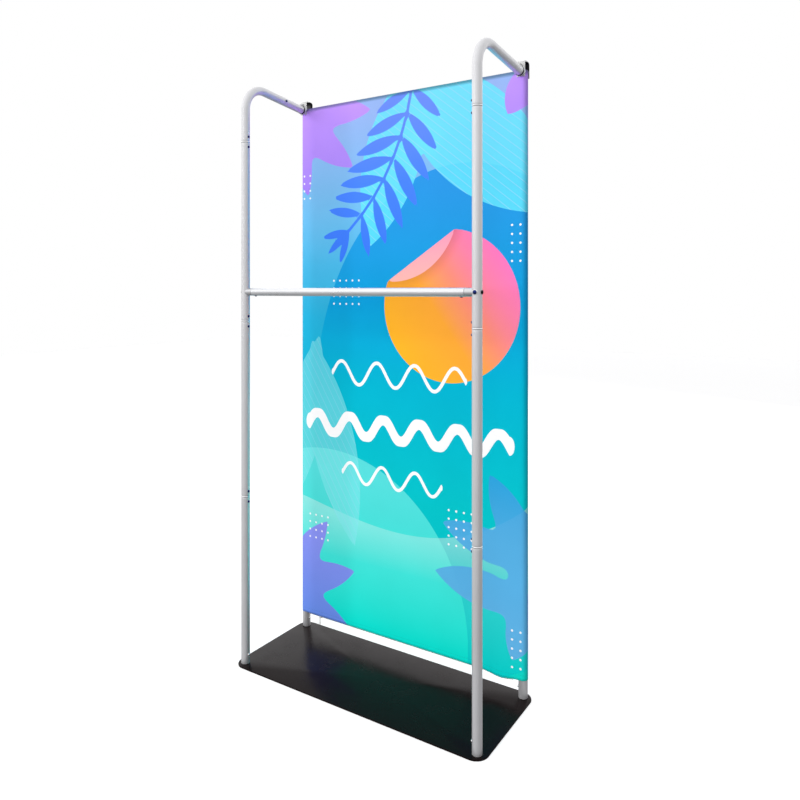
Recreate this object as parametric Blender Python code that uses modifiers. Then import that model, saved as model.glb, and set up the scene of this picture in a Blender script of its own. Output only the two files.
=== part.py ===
"""Banner stand with a clothes rail: steel base plate, plug-together tube posts and a zipped fabric banner.

Metres, +Z up. The origin is on the floor, in the middle of the base plate. +X is the viewer's right, and
-Y is the front, where the clothes rail is.
"""

import math

import bmesh
import bpy
from mathutils import Matrix, Vector

# Base plate and pegs
plate_width = 1.030
plate_depth = 0.416
plate_thickness = 0.005
plate_corner_radius = 0.045
plate_arris = 0.0008
plate_corner_steps = 6
post_inset = 0.032  # from the plate's edge to a post's axis
peg_height = 0.070
peg_button_height = 0.034

# Tubes of the posts
tube_diameter = 0.032
tube_wall = 0.0015
fit_gap = 0.0003  # between any two neighbouring pieces
lower_tube_length = 0.623
middle_tube_length = 0.650
rail_tube_length = 0.666
rear_lower_tube_length = 1.050
round_steps = 20  # sides of a tube
small_round_steps = 12  # sides of a button or a hole
dome_steps = 3
smooth_under = math.radians(40)  # edges that turn less than this look round

# Couplers between the front tubes
coupler_wall = 0.0015
coupler_reach = 0.052  # into each tube, from the middle of the stop ring
stop_ring_height = 0.005
stop_ring_proud = 0.0004
swage_length = 0.050

# Snap buttons
button_radius = 0.0045
button_proud = 0.0045
button_to_joint = 0.019
button_dome_share = 0.75  # of the height that stands proud
flange_margin = 0.0015  # the flange is this much wider than its button, all round
flange_thickness = 0.0008
leaf_length = 0.022
leaf_width = 0.008
hole_start = 0.005  # a button's hole is cut from this far off the tube's axis
hole_past_tube = 0.008

# Arms and hooks
arm_leg_length = 0.1189  # straight part of an arm tube, under its bend
bend_radius = 0.090
bend_steps = 7
arm_drop = math.radians(5.5)  # the arms fall this much towards the rear frame
arm_over_bar = 0.006  # arm axis above the top bar's axis, at the hook
arm_button_setback = 0.118
hook_shank_length = 0.145
hook_thickness = 0.003
hook_width = 0.030
hook_height = 0.045  # top of the hook above the top bar's axis
hook_tail = 0.010  # the rear leg ends this far below the bar's axis
hook_corner_radius = 0.010
hook_corner_steps = 5
hook_gap = 0.0005
collar_thickness = 0.004
collar_proud = 0.0015
gusset_length = 0.024
gusset_thickness = 0.004

# Clothes rail
rail_diameter = 0.0286
rail_wall = 0.0015
rail_above_joint = 0.107  # rail axis above the rail tube's lower end
stub_diameter = 0.0276
stub_reach = 0.039  # from the post's axis to the stub's shoulder
spigot_length = 0.045
stub_floor = 0.002  # the spigot's bore runs this far past the shoulder
stub_root_share = 0.4  # of the tube's radius: where the stub starts before it is coped
rail_button_inset = 0.014  # from the stub's shoulder to the button under the rail
rail_button_proud = 0.0027
bolt_radius = 0.0030
bolt_head_radius = 0.0065
bolt_head_height = 0.0035
bolt_dome_height = 0.0028
bolt_reach = 0.034  # from the post's axis to the bolt's tip
tee_button_radius = 0.0065
tee_button_proud = 0.0040

# Rear frame's corners
connector_leg = 0.030  # from the corner of the axes to the tube's end
connector_spigot = 0.040

# Banner and zip
fabric_thickness = 0.0008
banner_rim_steps = 6
hem_height = 0.064  # above the plate
zip_inset = 0.012  # from the rear tube's surface to the end of the zip
zip_width = 0.0050
zip_height = 0.0035
zip_below_hem = 0.0006
slider_length = 0.012
slider_wall = 0.0012
slider_floor = 0.0012
slider_from_post = 0.088  # slider's middle from the left post's axis, zip shut
pin_radius = 0.0008
knuckle_wall = 0.0009
knuckle_length = 0.0040
lug_thickness = 0.0012
pull_length = 0.028
pull_width = 0.009
pull_neck_width = 0.004
pull_thickness = 0.0012
pull_end_steps = 10

# Places that follow from the sizes above
tube_radius = tube_diameter / 2
tube_bore = tube_radius - tube_wall
plug_radius = tube_bore - fit_gap
plug_bore = plug_radius - coupler_wall
post_x = plate_width / 2 - post_inset
post_y = plate_depth / 2 - post_inset
plate_top = plate_thickness
ring_step = stop_ring_height + 2 * fit_gap
lower_tube_base = plate_top + fit_gap
middle_tube_base = lower_tube_base + lower_tube_length + ring_step
rail_tube_base = middle_tube_base + middle_tube_length + ring_step
arm_tube_base = rail_tube_base + rail_tube_length + ring_step
rail_height = rail_tube_base + rail_above_joint
rear_joint_height = lower_tube_base + rear_lower_tube_length
rear_upper_base = rear_joint_height + fit_gap
banner_inner_radius = tube_radius + fit_gap
banner_outer_radius = banner_inner_radius + fabric_thickness
hem_level = plate_top + hem_height

# The arms' far ends set the top bar's height, and the rear upper tubes reach up to it
arm_turn = math.pi / 2 + arm_drop
arm_end_y = post_y - banner_outer_radius - hook_gap - hook_thickness - collar_thickness - fit_gap
bend_base = arm_tube_base + arm_leg_length
bend_end_y = bend_radius * (1 - math.cos(arm_turn)) - post_y
bend_end_height = bend_base + bend_radius * math.sin(arm_turn)
arm_end_height = bend_end_height - math.tan(arm_drop) * (arm_end_y - bend_end_y)
bar_height = arm_end_height - arm_over_bar
rear_upper_tube_length = bar_height - connector_leg - fit_gap - rear_upper_base

scene = bpy.context.scene
for old in list(bpy.data.objects):
    bpy.data.objects.remove(old)
stand = bpy.data.collections.new("banner_stand")
scene.collection.children.link(stand)
cutters = bpy.data.collections.new("cutters")
scene.collection.children.link(cutters)


def finish(name, colour, roughness, metallic):
    """A plain Principled material."""
    material = bpy.data.materials.new(name)
    material.use_nodes = True
    shader = material.node_tree.nodes["Principled BSDF"]
    shader.inputs["Base Color"].default_value = (*colour, 1.0)
    shader.inputs["Roughness"].default_value = roughness
    shader.inputs["Metallic"].default_value = metallic
    return material


black_coat = finish("black_powder_coat", (0.012, 0.011, 0.011), 0.35, 0.0)
silver_tube = finish("satin_silver_tube", (0.62, 0.62, 0.63), 0.32, 1.0)
zinc_steel = finish("zinc_plated_steel", (0.55, 0.56, 0.57), 0.28, 1.0)
blued_steel = finish("blued_spring_steel", (0.02, 0.02, 0.09), 0.12, 1.0)
chrome = finish("chromed_steel", (0.80, 0.80, 0.80), 0.06, 1.0)
black_hook = finish("black_hook", (0.015, 0.015, 0.015), 0.30, 0.2)
connector_plastic = finish("connector_plastic", (0.05, 0.05, 0.055), 0.45, 0.0)
banner_cloth = finish("printed_stretch_cloth", (0.22, 0.70, 0.90), 0.80, 0.0)
zip_tape = finish("zip_tape", (0.75, 0.82, 0.85), 0.60, 0.0)
zip_metal = finish("white_zip_metal", (0.85, 0.85, 0.84), 0.30, 0.0)


def place(name, mesh, material, matrix=Matrix(), collection=stand):
    """Put a mesh into the scene as one named object."""
    piece = bpy.data.objects.new(name, mesh)
    collection.objects.link(piece)
    piece.matrix_world = matrix
    if material and not mesh.materials:
        mesh.materials.append(material)
    return piece


def hide_as_cutter(piece):
    """A cutter shapes other pieces and isn't one itself."""
    piece.hide_render = True
    piece.display_type = "WIRE"


def boolean(piece, cutter, operation="DIFFERENCE"):
    modifier = piece.modifiers.new(cutter.name, "BOOLEAN")
    modifier.operation = operation
    modifier.object = cutter


def aim(origin, axis, side=None):
    """Matrix at origin whose +Z is axis and whose +X lies along side as far as it can."""
    up = Vector(axis).normalized()
    across = Vector(side) if side else up.orthogonal()
    across = (across - up * across.dot(up)).normalized()
    matrix = Matrix((across, up.cross(across), up)).transposed().to_4x4()
    matrix.translation = Vector(origin)
    return matrix


def profile_mesh(name, profile, closed):
    mesh = bpy.data.meshes.new(name)
    count = len(profile)
    edges = [(i, i + 1) for i in range(count - 1)]
    if closed:
        edges.append((count - 1, 0))
    mesh.from_pydata([(radius, 0.0, along) for radius, along in profile], edges, [])
    return mesh


def turned(name, profile, material, matrix=Matrix(), closed=True, collection=stand, steps=round_steps):
    """Turn a profile of (radius, height) points about local Z. A closed one makes a hollow piece."""
    piece = place(name, profile_mesh(name, profile, closed), material, matrix, collection)
    screw = piece.modifiers.new("turn", "SCREW")
    screw.axis = "Z"
    screw.steps = steps
    screw.render_steps = steps
    screw.use_merge_vertices = True
    screw.merge_threshold = 0.00001
    screw.use_smooth_shade = True
    return piece


def tube(name, outer, bore, length, material, matrix):
    """A straight tube from the matrix's origin along its +Z."""
    return turned(name, [(outer, length), (outer, 0.0), (bore, 0.0), (bore, length)], material, matrix)


def cylinder_cutter(name, radius, start, end, matrix, steps=small_round_steps):
    """A round cutter along the matrix's Z, between two distances from its origin."""
    shape = bmesh.new()
    middle = Matrix.Translation((0.0, 0.0, (start + end) / 2))
    bmesh.ops.create_cone(shape, cap_ends=True, segments=steps, radius1=radius, radius2=radius,
                          depth=end - start, matrix=middle)
    mesh = bpy.data.meshes.new(name)
    shape.to_mesh(mesh)
    shape.free()
    cutter = place(name, mesh, None, matrix, cutters)
    hide_as_cutter(cutter)
    return cutter


def box_mesh(name, low, high):
    """A box between two corners."""
    low, high = Vector(low), Vector(high)
    size = high - low
    shape = bmesh.new()
    bmesh.ops.create_cube(shape, size=1.0)
    bmesh.ops.scale(shape, vec=size, verts=shape.verts)
    bmesh.ops.translate(shape, vec=(low + high) / 2, verts=shape.verts)
    mesh = bpy.data.meshes.new(name)
    shape.to_mesh(mesh)
    shape.free()
    return mesh


def frozen_mesh(piece):
    """Keep the evaluated shape of a piece as a plain mesh, and remove the piece."""
    bpy.context.view_layer.update()
    depsgraph = bpy.context.evaluated_depsgraph_get()
    mesh = bpy.data.meshes.new_from_object(piece.evaluated_get(depsgraph))
    bpy.data.objects.remove(piece)
    welded = bmesh.new()
    welded.from_mesh(mesh)
    bmesh.ops.remove_doubles(welded, verts=welded.verts, dist=0.000001)
    welded.to_mesh(mesh)
    welded.free()
    return mesh


def arc(centre, radius, start, end, steps):
    """Points on an arc of a flat outline, ends included; the angles are in degrees."""
    angles = [math.radians(start + (end - start) * i / steps) for i in range(steps + 1)]
    return [(centre[0] + radius * math.cos(a), centre[1] + radius * math.sin(a)) for a in angles]


def flat_mesh(name, outlines, thickness):
    """A flat plate from outlines in XY, with its thickness shared about Z. A second outline is a hole."""
    curve = bpy.data.curves.new(name, "CURVE")
    curve.dimensions = "2D"
    curve.fill_mode = "BOTH"
    curve.extrude = thickness / 2
    for outline in outlines:
        spline = curve.splines.new("POLY")
        spline.points.add(len(outline) - 1)
        for point, (x, y) in zip(spline.points, outline):
            point.co = (x, y, 0.0, 1.0)
        spline.use_cyclic_u = True
    piece = bpy.data.objects.new(name, curve)
    cutters.objects.link(piece)
    return frozen_mesh(piece)


def button_mesh(name, outer, bore, radius, proud):
    """A domed snap button with its flange and leaf spring leg. Z points outwards from the tube's axis."""
    flange_radius = radius + flange_margin
    flange_top = math.sqrt(bore ** 2 - flange_radius ** 2) - fit_gap
    flange_base = flange_top - flange_thickness
    tip = outer + proud
    dome = proud * button_dome_share
    profile = []
    for i in range(dome_steps + 1):
        angle = math.pi / 2 * i / dome_steps
        profile.append((radius * math.sin(angle), tip - dome + dome * math.cos(angle)))
    profile += [(radius, flange_top), (flange_radius, flange_top)]
    profile += [(flange_radius, flange_base), (0.0, flange_base)]
    body = turned(name, profile, None, closed=False, collection=cutters,
                  steps=small_round_steps)
    leg_mesh = box_mesh(name + "_leaf", (0.0, -leaf_width / 2, flange_base + fit_gap / 2),
                        (leaf_length, leaf_width / 2, flange_top - fit_gap / 2))
    leg = place(name + "_leaf", leg_mesh, None, collection=cutters)
    boolean(body, leg, "UNION")
    mesh = frozen_mesh(body)
    bpy.data.objects.remove(leg)
    mesh.shade_smooth()
    mesh.set_sharp_from_angle(angle=smooth_under)
    return mesh


def snap_button(name, mesh, material, origin, outward, leaf_way, targets, radius=button_radius):
    """Place a button and cut its hole in every piece that it passes through."""
    matrix = aim(origin, outward, leaf_way)
    own_mesh = mesh.copy()
    place(name, own_mesh, material, matrix)
    cutter = cylinder_cutter(name + "_hole", radius + fit_gap, hole_start, tube_radius + hole_past_tube,
                             matrix)
    for target in targets:
        boolean(target, cutter)


def base_plate():
    """The flat plate, with round corners and a broken edge."""
    shape = bmesh.new()
    shape.from_mesh(box_mesh("plate_blank", (-plate_width / 2, -plate_depth / 2, 0.0),
                             (plate_width / 2, plate_depth / 2, plate_thickness)))
    corners = [e for e in shape.edges if abs(e.verts[0].co.z - e.verts[1].co.z) > plate_thickness / 2]
    bmesh.ops.bevel(shape, geom=corners, offset=plate_corner_radius, segments=plate_corner_steps, profile=0.5,
                    affect="EDGES")
    mesh = bpy.data.meshes.new("base_plate")
    shape.to_mesh(mesh)
    shape.free()
    plate = place("base_plate", mesh, black_coat)
    bevel = plate.modifiers.new("arris", "BEVEL")
    bevel.width = plate_arris
    bevel.segments = 1
    bevel.limit_method = "ANGLE"
    bevel.angle_limit = smooth_under


def coupler(name, x, y, middle):
    """A steel sleeve that joins two tubes, with the ring that both tubes stop against."""
    ring = tube_radius + stop_ring_proud
    half = stop_ring_height / 2
    profile = [
        (plug_radius, coupler_reach), (plug_radius, half), (ring, half), (ring, -half), (plug_radius, -half),
        (plug_radius, -coupler_reach), (plug_bore, -coupler_reach), (plug_bore, coupler_reach),
    ]
    return turned(name, profile, zinc_steel, Matrix.Translation((x, y, middle)))


def arm_path(side):
    """Centre line of an arm tube: up from the last coupler, round the bend, and down to the hook's collar."""
    x = side * post_x
    points = [Vector((x, -post_y, arm_tube_base))]
    for i in range(bend_steps + 1):
        angle = arm_turn * i / bend_steps
        points.append(Vector((x, bend_radius * (1 - math.cos(angle)) - post_y,
                              bend_base + bend_radius * math.sin(angle))))
    points.append(Vector((x, arm_end_y, arm_end_height)))
    return points


def arm_tube(name, side):
    """The bent tube: a hollow sweep along the arm's centre line."""
    curve = bpy.data.curves.new(name, "CURVE")
    curve.dimensions = "3D"
    curve.bevel_depth = tube_radius
    curve.bevel_resolution = (round_steps - 4) // 2
    points = arm_path(side)
    spline = curve.splines.new("POLY")
    spline.points.add(len(points) - 1)
    for point, place_on_path in zip(spline.points, points):
        point.co = (*place_on_path, 1.0)
    sweep = bpy.data.objects.new(name + "_sweep", curve)
    cutters.objects.link(sweep)
    piece = place(name, frozen_mesh(sweep), silver_tube)
    wall = piece.modifiers.new("wall", "SOLIDIFY")
    wall.thickness = tube_wall
    wall.offset = -1.0
    wall.use_even_offset = True
    return piece


def arm_hook(name, side):
    """Shank and collar in the arm's end, and the hook that drops over the top bar."""
    points = arm_path(side)
    way = (points[-1] - points[-2]).normalized()
    seat = points[-1] + way * fit_gap
    collar = tube_radius + collar_proud
    profile = [
        (0.0, collar_thickness), (collar, collar_thickness), (collar, 0.0), (plug_radius, 0.0),
        (plug_radius, -hook_shank_length), (plug_bore, -hook_shank_length), (plug_bore, 0.0), (0.0, 0.0),
    ]
    hook = turned(name, profile, black_hook, aim(seat, way, (1, 0, 0)), closed=False)
    inner = banner_outer_radius + hook_gap
    outer = inner + hook_thickness
    rise = hook_height - hook_thickness
    inner_corner = hook_corner_radius - hook_thickness
    foot = -tube_radius + arm_over_bar
    outline = [(-outer, foot)]
    outer_bend = outer - hook_corner_radius
    outline += arc((-outer_bend, hook_height - hook_corner_radius), hook_corner_radius, 180, 90,
                   hook_corner_steps)
    outline += arc((outer_bend, hook_height - hook_corner_radius), hook_corner_radius, 90, 0,
                   hook_corner_steps)
    outline += [(outer, hook_thickness - hook_tail), (outer - hook_thickness / 3, -hook_tail)]
    outline += [(inner + hook_thickness / 3, -hook_tail), (inner, hook_thickness - hook_tail)]
    outline += arc((inner - inner_corner, rise - inner_corner), inner_corner, 0, 90, hook_corner_steps)
    outline += arc((-inner + inner_corner, rise - inner_corner), inner_corner, 90, 180, hook_corner_steps)
    outline.append((-inner, foot))
    strap = flat_mesh(name + "_strap", [outline], hook_width)
    above_arm = arm_over_bar + tube_radius + 2 * fit_gap + math.tan(arm_drop) * gusset_length
    top = hook_height - hook_corner_radius
    web = [(-outer - gusset_length, above_arm + gusset_thickness / 2), (-outer - gusset_length, above_arm),
           (-outer + hook_thickness / 2, above_arm), (-outer + hook_thickness / 2, top)]
    gusset = flat_mesh(name + "_gusset", [web], gusset_thickness)
    into_place = Matrix(((0, 0, 1, side * post_x), (1, 0, 0, post_y), (0, 1, 0, bar_height), (0, 0, 0, 1)))
    for part_mesh in (strap, gusset):
        part = place(part_mesh.name, part_mesh, None, into_place, cutters)
        hide_as_cutter(part)
        boolean(hook, part, "UNION")
    return hook


def rail_stub(name, side):
    """The coped socket between a post and the rail: its end is hollowed to sit round the post."""
    radius = stub_diameter / 2
    spigot = rail_diameter / 2 - rail_wall - fit_gap
    spigot_bore = spigot - coupler_wall
    end = stub_reach + spigot_length
    start = tube_radius * stub_root_share
    bolt_bore = bolt_radius + fit_gap
    profile = [
        (spigot_bore, end), (spigot, end), (spigot, stub_reach), (radius, stub_reach), (radius, start),
        (bolt_bore, start), (bolt_bore, stub_reach - stub_floor), (spigot_bore, stub_reach - stub_floor),
    ]
    origin = (side * post_x, -post_y, rail_height)
    stub = turned(name, profile, silver_tube, aim(origin, (-side, 0, 0), (0, 0, 1)))
    cope = cylinder_cutter(name + "_cope", tube_radius + fit_gap, -tube_diameter, tube_diameter,
                           Matrix.Translation(origin), round_steps)
    boolean(stub, cope)
    return stub


def rail_bolt(name, side, post):
    """The bolt through the post that holds the rail's stub; it also drills the post."""
    origin = (side * post_x, -post_y, rail_height)
    matrix = aim(origin, (-side, 0, 0))
    under_head = -(tube_radius + fit_gap)
    top = under_head - bolt_head_height
    dome = []
    for i in range(dome_steps + 1):
        angle = math.pi / 2 * i / dome_steps
        dome.append((bolt_head_radius * math.sin(angle), top + bolt_dome_height * (1 - math.cos(angle))))
    profile = dome + [(bolt_head_radius, under_head), (bolt_radius, under_head), (bolt_radius, bolt_reach),
                      (0.0, bolt_reach)]
    turned(name, profile[::-1], zinc_steel, matrix, closed=False, steps=small_round_steps)
    past_wall = tube_radius + bolt_head_height
    drill = cylinder_cutter(name + "_drill", bolt_radius + fit_gap, -past_wall, past_wall, matrix)
    boolean(post, drill)


def corner_connector(name, side):
    """A solid mitred elbow with a spigot for the upright and one for the top bar."""
    ring_angles = [2 * math.pi * i / round_steps for i in range(round_steps)]
    inward = -side

    def upright_ring(radius, drop):
        return [(radius * math.cos(a), radius * math.sin(a), -drop) for a in ring_angles]

    def bar_ring(radius, reach):
        return [(reach * inward, radius * math.sin(a), -radius * math.cos(a) * inward) for a in ring_angles]

    mitre = [(tube_radius * math.cos(a), tube_radius * math.sin(a), -tube_radius * math.cos(a) * inward)
             for a in ring_angles]
    tip = connector_leg + connector_spigot
    rings = [upright_ring(plug_radius, tip), upright_ring(plug_radius, connector_leg),
             upright_ring(tube_radius, connector_leg), mitre, bar_ring(tube_radius, connector_leg),
             bar_ring(plug_radius, connector_leg), bar_ring(plug_radius, tip)]
    shape = bmesh.new()
    loops = [[shape.verts.new(point) for point in ring] for ring in rings]
    for first, second in zip(loops, loops[1:]):
        for i in range(round_steps):
            j = (i + 1) % round_steps
            shape.faces.new((first[i], first[j], second[j], second[i]))
    shape.faces.new(loops[0])
    shape.faces.new(loops[-1])
    bmesh.ops.recalc_face_normals(shape, faces=shape.faces)
    mesh = bpy.data.meshes.new(name)
    shape.to_mesh(mesh)
    shape.free()
    place(name, mesh, connector_plastic, Matrix.Translation((side * post_x, post_y, bar_height)))


def banner():
    """The pillowcase: one skin round the rear frame, open along the bottom."""
    half_width = post_x + banner_outer_radius
    low = (-half_width, post_y - banner_outer_radius, hem_level)
    high = (half_width, post_y + banner_outer_radius, bar_height + banner_outer_radius)
    shape = bmesh.new()
    shape.from_mesh(box_mesh("banner_blank", low, high))
    bottom = [f for f in shape.faces if f.normal.z < -0.5]
    bmesh.ops.delete(shape, geom=bottom, context="FACES_ONLY")
    rim = []
    for edge in shape.edges:
        way = edge.verts[1].co - edge.verts[0].co
        along_y = abs(way.y) > abs(way.x) + abs(way.z)
        on_hem = max(v.co.z for v in edge.verts) < hem_level + fit_gap
        if not along_y and not on_hem:
            rim.append(edge)
    bmesh.ops.bevel(shape, geom=rim, offset=banner_outer_radius - fit_gap / 3, segments=banner_rim_steps,
                    profile=0.5, affect="EDGES")
    mesh = bpy.data.meshes.new("banner")
    shape.to_mesh(mesh)
    shape.free()
    piece = place("banner", mesh, banner_cloth)
    skin = piece.modifiers.new("skin", "SOLIDIFY")
    skin.thickness = fabric_thickness
    skin.offset = -1.0
    skin.use_even_offset = True


def zip_fastener():
    """The zip under the front hem: its chain, the slider that runs on it, and the pull on the slider."""
    chain_front = post_y - banner_outer_radius
    chain_back = chain_front + zip_width
    chain_top = hem_level - zip_below_hem
    chain_base = chain_top - zip_height
    chain_end = post_x - tube_radius - zip_inset
    place("zip_chain", box_mesh("zip_chain", (-chain_end, chain_front, chain_base),
                                (chain_end, chain_back, chain_top)), zip_tape)
    x = slider_from_post - post_x
    half = slider_length / 2
    front = chain_front - fit_gap - slider_wall
    back = chain_back + fit_gap + slider_wall
    base = chain_base - fit_gap - slider_floor
    pin_y = front - pin_radius - fit_gap - knuckle_wall
    pin_z = (chain_top + base) / 2
    at_slider = Matrix.Translation((x, 0, 0))
    slider_mesh = box_mesh("zip_slider", (-half, front, base), (half, back, chain_top))
    slider = place("zip_slider", slider_mesh, zip_metal, at_slider)
    channel_mesh = box_mesh("slider_channel", (-slider_length, chain_front - fit_gap, chain_base - fit_gap),
                            (slider_length, chain_back + fit_gap, chain_top + zip_height))
    channel = place("slider_channel", channel_mesh, None, at_slider, cutters)
    hide_as_cutter(channel)
    boolean(slider, channel)
    inside_lugs = knuckle_length / 2 + fit_gap
    lug_outline_radius = pin_radius + knuckle_wall
    for side in (-1, 1):
        near = side * inside_lugs
        far = side * (inside_lugs + lug_thickness)
        lug_mesh = box_mesh("lug", (min(near, far), pin_y - lug_outline_radius, pin_z - lug_outline_radius),
                            (max(near, far), front + slider_wall / 2, pin_z + lug_outline_radius))
        lug = place("slider_lug", lug_mesh, None, at_slider, cutters)
        hide_as_cutter(lug)
        boolean(slider, lug, "UNION")
    reach = inside_lugs + lug_thickness / 2
    at_pin = aim((x, pin_y, pin_z), (1, 0, 0), (0, 0, 1))
    pin = cylinder_cutter("slider_pin", pin_radius, -reach, reach, at_pin)
    boolean(slider, pin, "UNION")
    bore = pin_radius + fit_gap
    knuckle = bore + knuckle_wall - fit_gap
    profile = [(knuckle, knuckle_length / 2), (knuckle, -knuckle_length / 2), (bore, -knuckle_length / 2),
               (bore, knuckle_length / 2)]
    pull = turned("zip_pull", profile, zip_metal, at_pin, steps=small_round_steps)
    tab_end = pull_width / 2
    outline = [(-pull_neck_width / 2, -bore - knuckle_wall / 3)]
    outline += arc((0.0, -pull_length + tab_end), tab_end, 180, 360, pull_end_steps)
    outline += [(pull_neck_width / 2, -bore - knuckle_wall / 3)]
    eye_steps = small_round_steps - 1
    eye = arc((0.0, -pull_length + tab_end), tab_end / 2, 0, 360 - 360 / small_round_steps, eye_steps)
    tab_mesh = flat_mesh("pull_tab", [outline, eye], pull_thickness)
    hanging = Matrix(((1, 0, 0, x), (0, 0, -1, pin_y), (0, 1, 0, pin_z), (0, 0, 0, 1)))
    tab = place("pull_tab", tab_mesh, None, hanging, cutters)
    hide_as_cutter(tab)
    boolean(pull, tab, "UNION")


def front_post(word, side, joint_button):
    """The four tubes of a front post, their couplers, their snap buttons and the rail's tee."""
    x = side * post_x
    y = -post_y
    inward = (-side, 0, 0)
    up = (0, 0, 1)
    down = (0, 0, -1)
    lower = tube(f"front_{word}_lower_tube", tube_radius, tube_bore, lower_tube_length, silver_tube,
                 Matrix.Translation((x, y, lower_tube_base)))
    middle = tube(f"front_{word}_middle_tube", tube_radius, tube_bore, middle_tube_length, silver_tube,
                  Matrix.Translation((x, y, middle_tube_base)))
    rail_post = tube(f"front_{word}_rail_tube", tube_radius, tube_bore, rail_tube_length, silver_tube,
                     Matrix.Translation((x, y, rail_tube_base)))
    arm = arm_tube(f"front_{word}_arm_tube", side)
    joints = (("lower", lower, middle, middle_tube_base), ("middle", middle, rail_post, rail_tube_base),
              ("upper", rail_post, arm, arm_tube_base))
    for level, below, above, base in joints:
        height = base - fit_gap - stop_ring_height / 2
        sleeve = coupler(f"front_{word}_{level}_coupler", x, y, height)
        snap_button(f"front_{word}_{level}_top_button", joint_button, blued_steel,
                    (x, y, height + button_to_joint), inward, up, (sleeve, above))
        snap_button(f"front_{word}_{level}_bottom_button", joint_button, blued_steel,
                    (x, y, height - button_to_joint), inward, down, (sleeve, below))
    return lower, rail_post, arm


def post_base(word, x, y, inward, tube_over_peg, joint_button):
    """A peg on the plate and the snap button that locks a post to it."""
    profile = [(plug_radius, peg_height), (plug_radius, fit_gap)]
    profile += [(plug_bore, fit_gap), (plug_bore, peg_height)]
    peg = turned(f"base_peg_{word}", profile, zinc_steel, Matrix.Translation((x, y, plate_top)))
    snap_button(f"peg_button_{word}", joint_button, chrome, (x, y, plate_top + peg_button_height), inward,
                (0, 0, 1), (peg, tube_over_peg))


def rear_upright(word, side):
    """A rear post: a lower tube with a swaged top, and an upper tube pushed over it."""
    x = side * post_x
    top = rear_lower_tube_length
    profile = [
        (plug_radius, top + swage_length), (plug_radius, top), (tube_radius, top), (tube_radius, 0.0),
        (tube_bore, 0.0), (tube_bore, top - tube_wall), (plug_bore, top), (plug_bore, top + swage_length),
    ]
    lower = turned(f"rear_{word}_lower_tube", profile, silver_tube,
                   Matrix.Translation((x, post_y, lower_tube_base)))
    tube(f"rear_{word}_upper_tube", tube_radius, tube_bore, rear_upper_tube_length, silver_tube,
         Matrix.Translation((x, post_y, rear_upper_base)))
    corner_connector(f"corner_connector_{word}", side)
    return lower


def build_stand():
    joint_button = button_mesh("joint_button", tube_radius, plug_bore, button_radius, button_proud)
    rail_spigot_bore = rail_diameter / 2 - rail_wall - fit_gap - coupler_wall
    rail_button = button_mesh("rail_button", rail_diameter / 2, rail_spigot_bore, button_radius,
                              rail_button_proud)
    tee_button = button_mesh("tee_button", tube_radius, tube_bore, tee_button_radius, tee_button_proud)
    base_plate()
    rail_half = post_x - stub_reach - fit_gap
    rail = tube("clothes_rail", rail_diameter / 2, rail_diameter / 2 - rail_wall, 2 * rail_half, silver_tube,
                aim((-rail_half, -post_y, rail_height), (1, 0, 0), (0, 0, 1)))
    for word, side in (("left", -1), ("right", 1)):
        inward = (-side, 0, 0)
        x = side * post_x
        lower, rail_post, arm = front_post(word, side, joint_button)
        post_base(f"front_{word}", x, -post_y, inward, lower, joint_button)
        rear_lower = rear_upright(word, side)
        post_base(f"rear_{word}", x, post_y, inward, rear_lower, joint_button)
        stub = rail_stub(f"rail_stub_{word}", side)
        rail_bolt(f"rail_bolt_{word}", side, rail_post)
        snap_button(f"tee_button_{word}", tee_button, blued_steel, (x, -post_y, rail_height), (0, -side, 0),
                    (0, 0, 1), (rail_post,), tee_button_radius)
        snap_button(f"rail_button_{word}", rail_button, blued_steel,
                    (side * (rail_half - rail_button_inset), -post_y, rail_height), (0, 0, -1), inward,
                    (stub, rail))
        hook = arm_hook(f"arm_hook_{word}", side)
        points = arm_path(side)
        way = (points[-1] - points[-2]).normalized()
        snap_button(f"arm_button_{word}", joint_button, blued_steel,
                    points[-1] - way * arm_button_setback, inward, -way, (hook, arm))
    bar_half = post_x - connector_leg - fit_gap
    tube("top_bar", tube_radius, tube_bore, 2 * bar_half, silver_tube,
         aim((-bar_half, post_y, bar_height), (1, 0, 0), (0, 0, 1)))
    banner()
    zip_fastener()


build_stand()
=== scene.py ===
"""Banner stand with a clothes rail: black steel plate, four silver tube posts, a rail and a printed sleeve.

Metres, +Z up, origin on the floor in the middle of the plate, +X the viewer's right, -Y the front.
"""
import math

import bmesh
import bpy
import numpy as np
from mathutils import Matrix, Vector


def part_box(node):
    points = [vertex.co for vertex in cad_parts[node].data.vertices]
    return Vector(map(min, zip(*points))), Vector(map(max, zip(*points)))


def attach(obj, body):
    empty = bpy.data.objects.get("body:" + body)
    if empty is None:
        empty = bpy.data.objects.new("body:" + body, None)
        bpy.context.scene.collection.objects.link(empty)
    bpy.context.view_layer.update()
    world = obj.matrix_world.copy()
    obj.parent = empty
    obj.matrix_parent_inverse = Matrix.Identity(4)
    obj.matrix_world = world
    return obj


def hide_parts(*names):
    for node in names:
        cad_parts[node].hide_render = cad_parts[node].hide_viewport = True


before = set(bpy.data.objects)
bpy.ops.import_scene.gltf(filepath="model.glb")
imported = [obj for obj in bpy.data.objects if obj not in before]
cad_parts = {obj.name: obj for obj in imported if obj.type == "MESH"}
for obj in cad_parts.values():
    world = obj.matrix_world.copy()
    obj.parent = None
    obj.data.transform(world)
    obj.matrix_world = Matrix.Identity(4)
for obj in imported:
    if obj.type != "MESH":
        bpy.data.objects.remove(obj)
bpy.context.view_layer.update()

scene = bpy.context.scene

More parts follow.
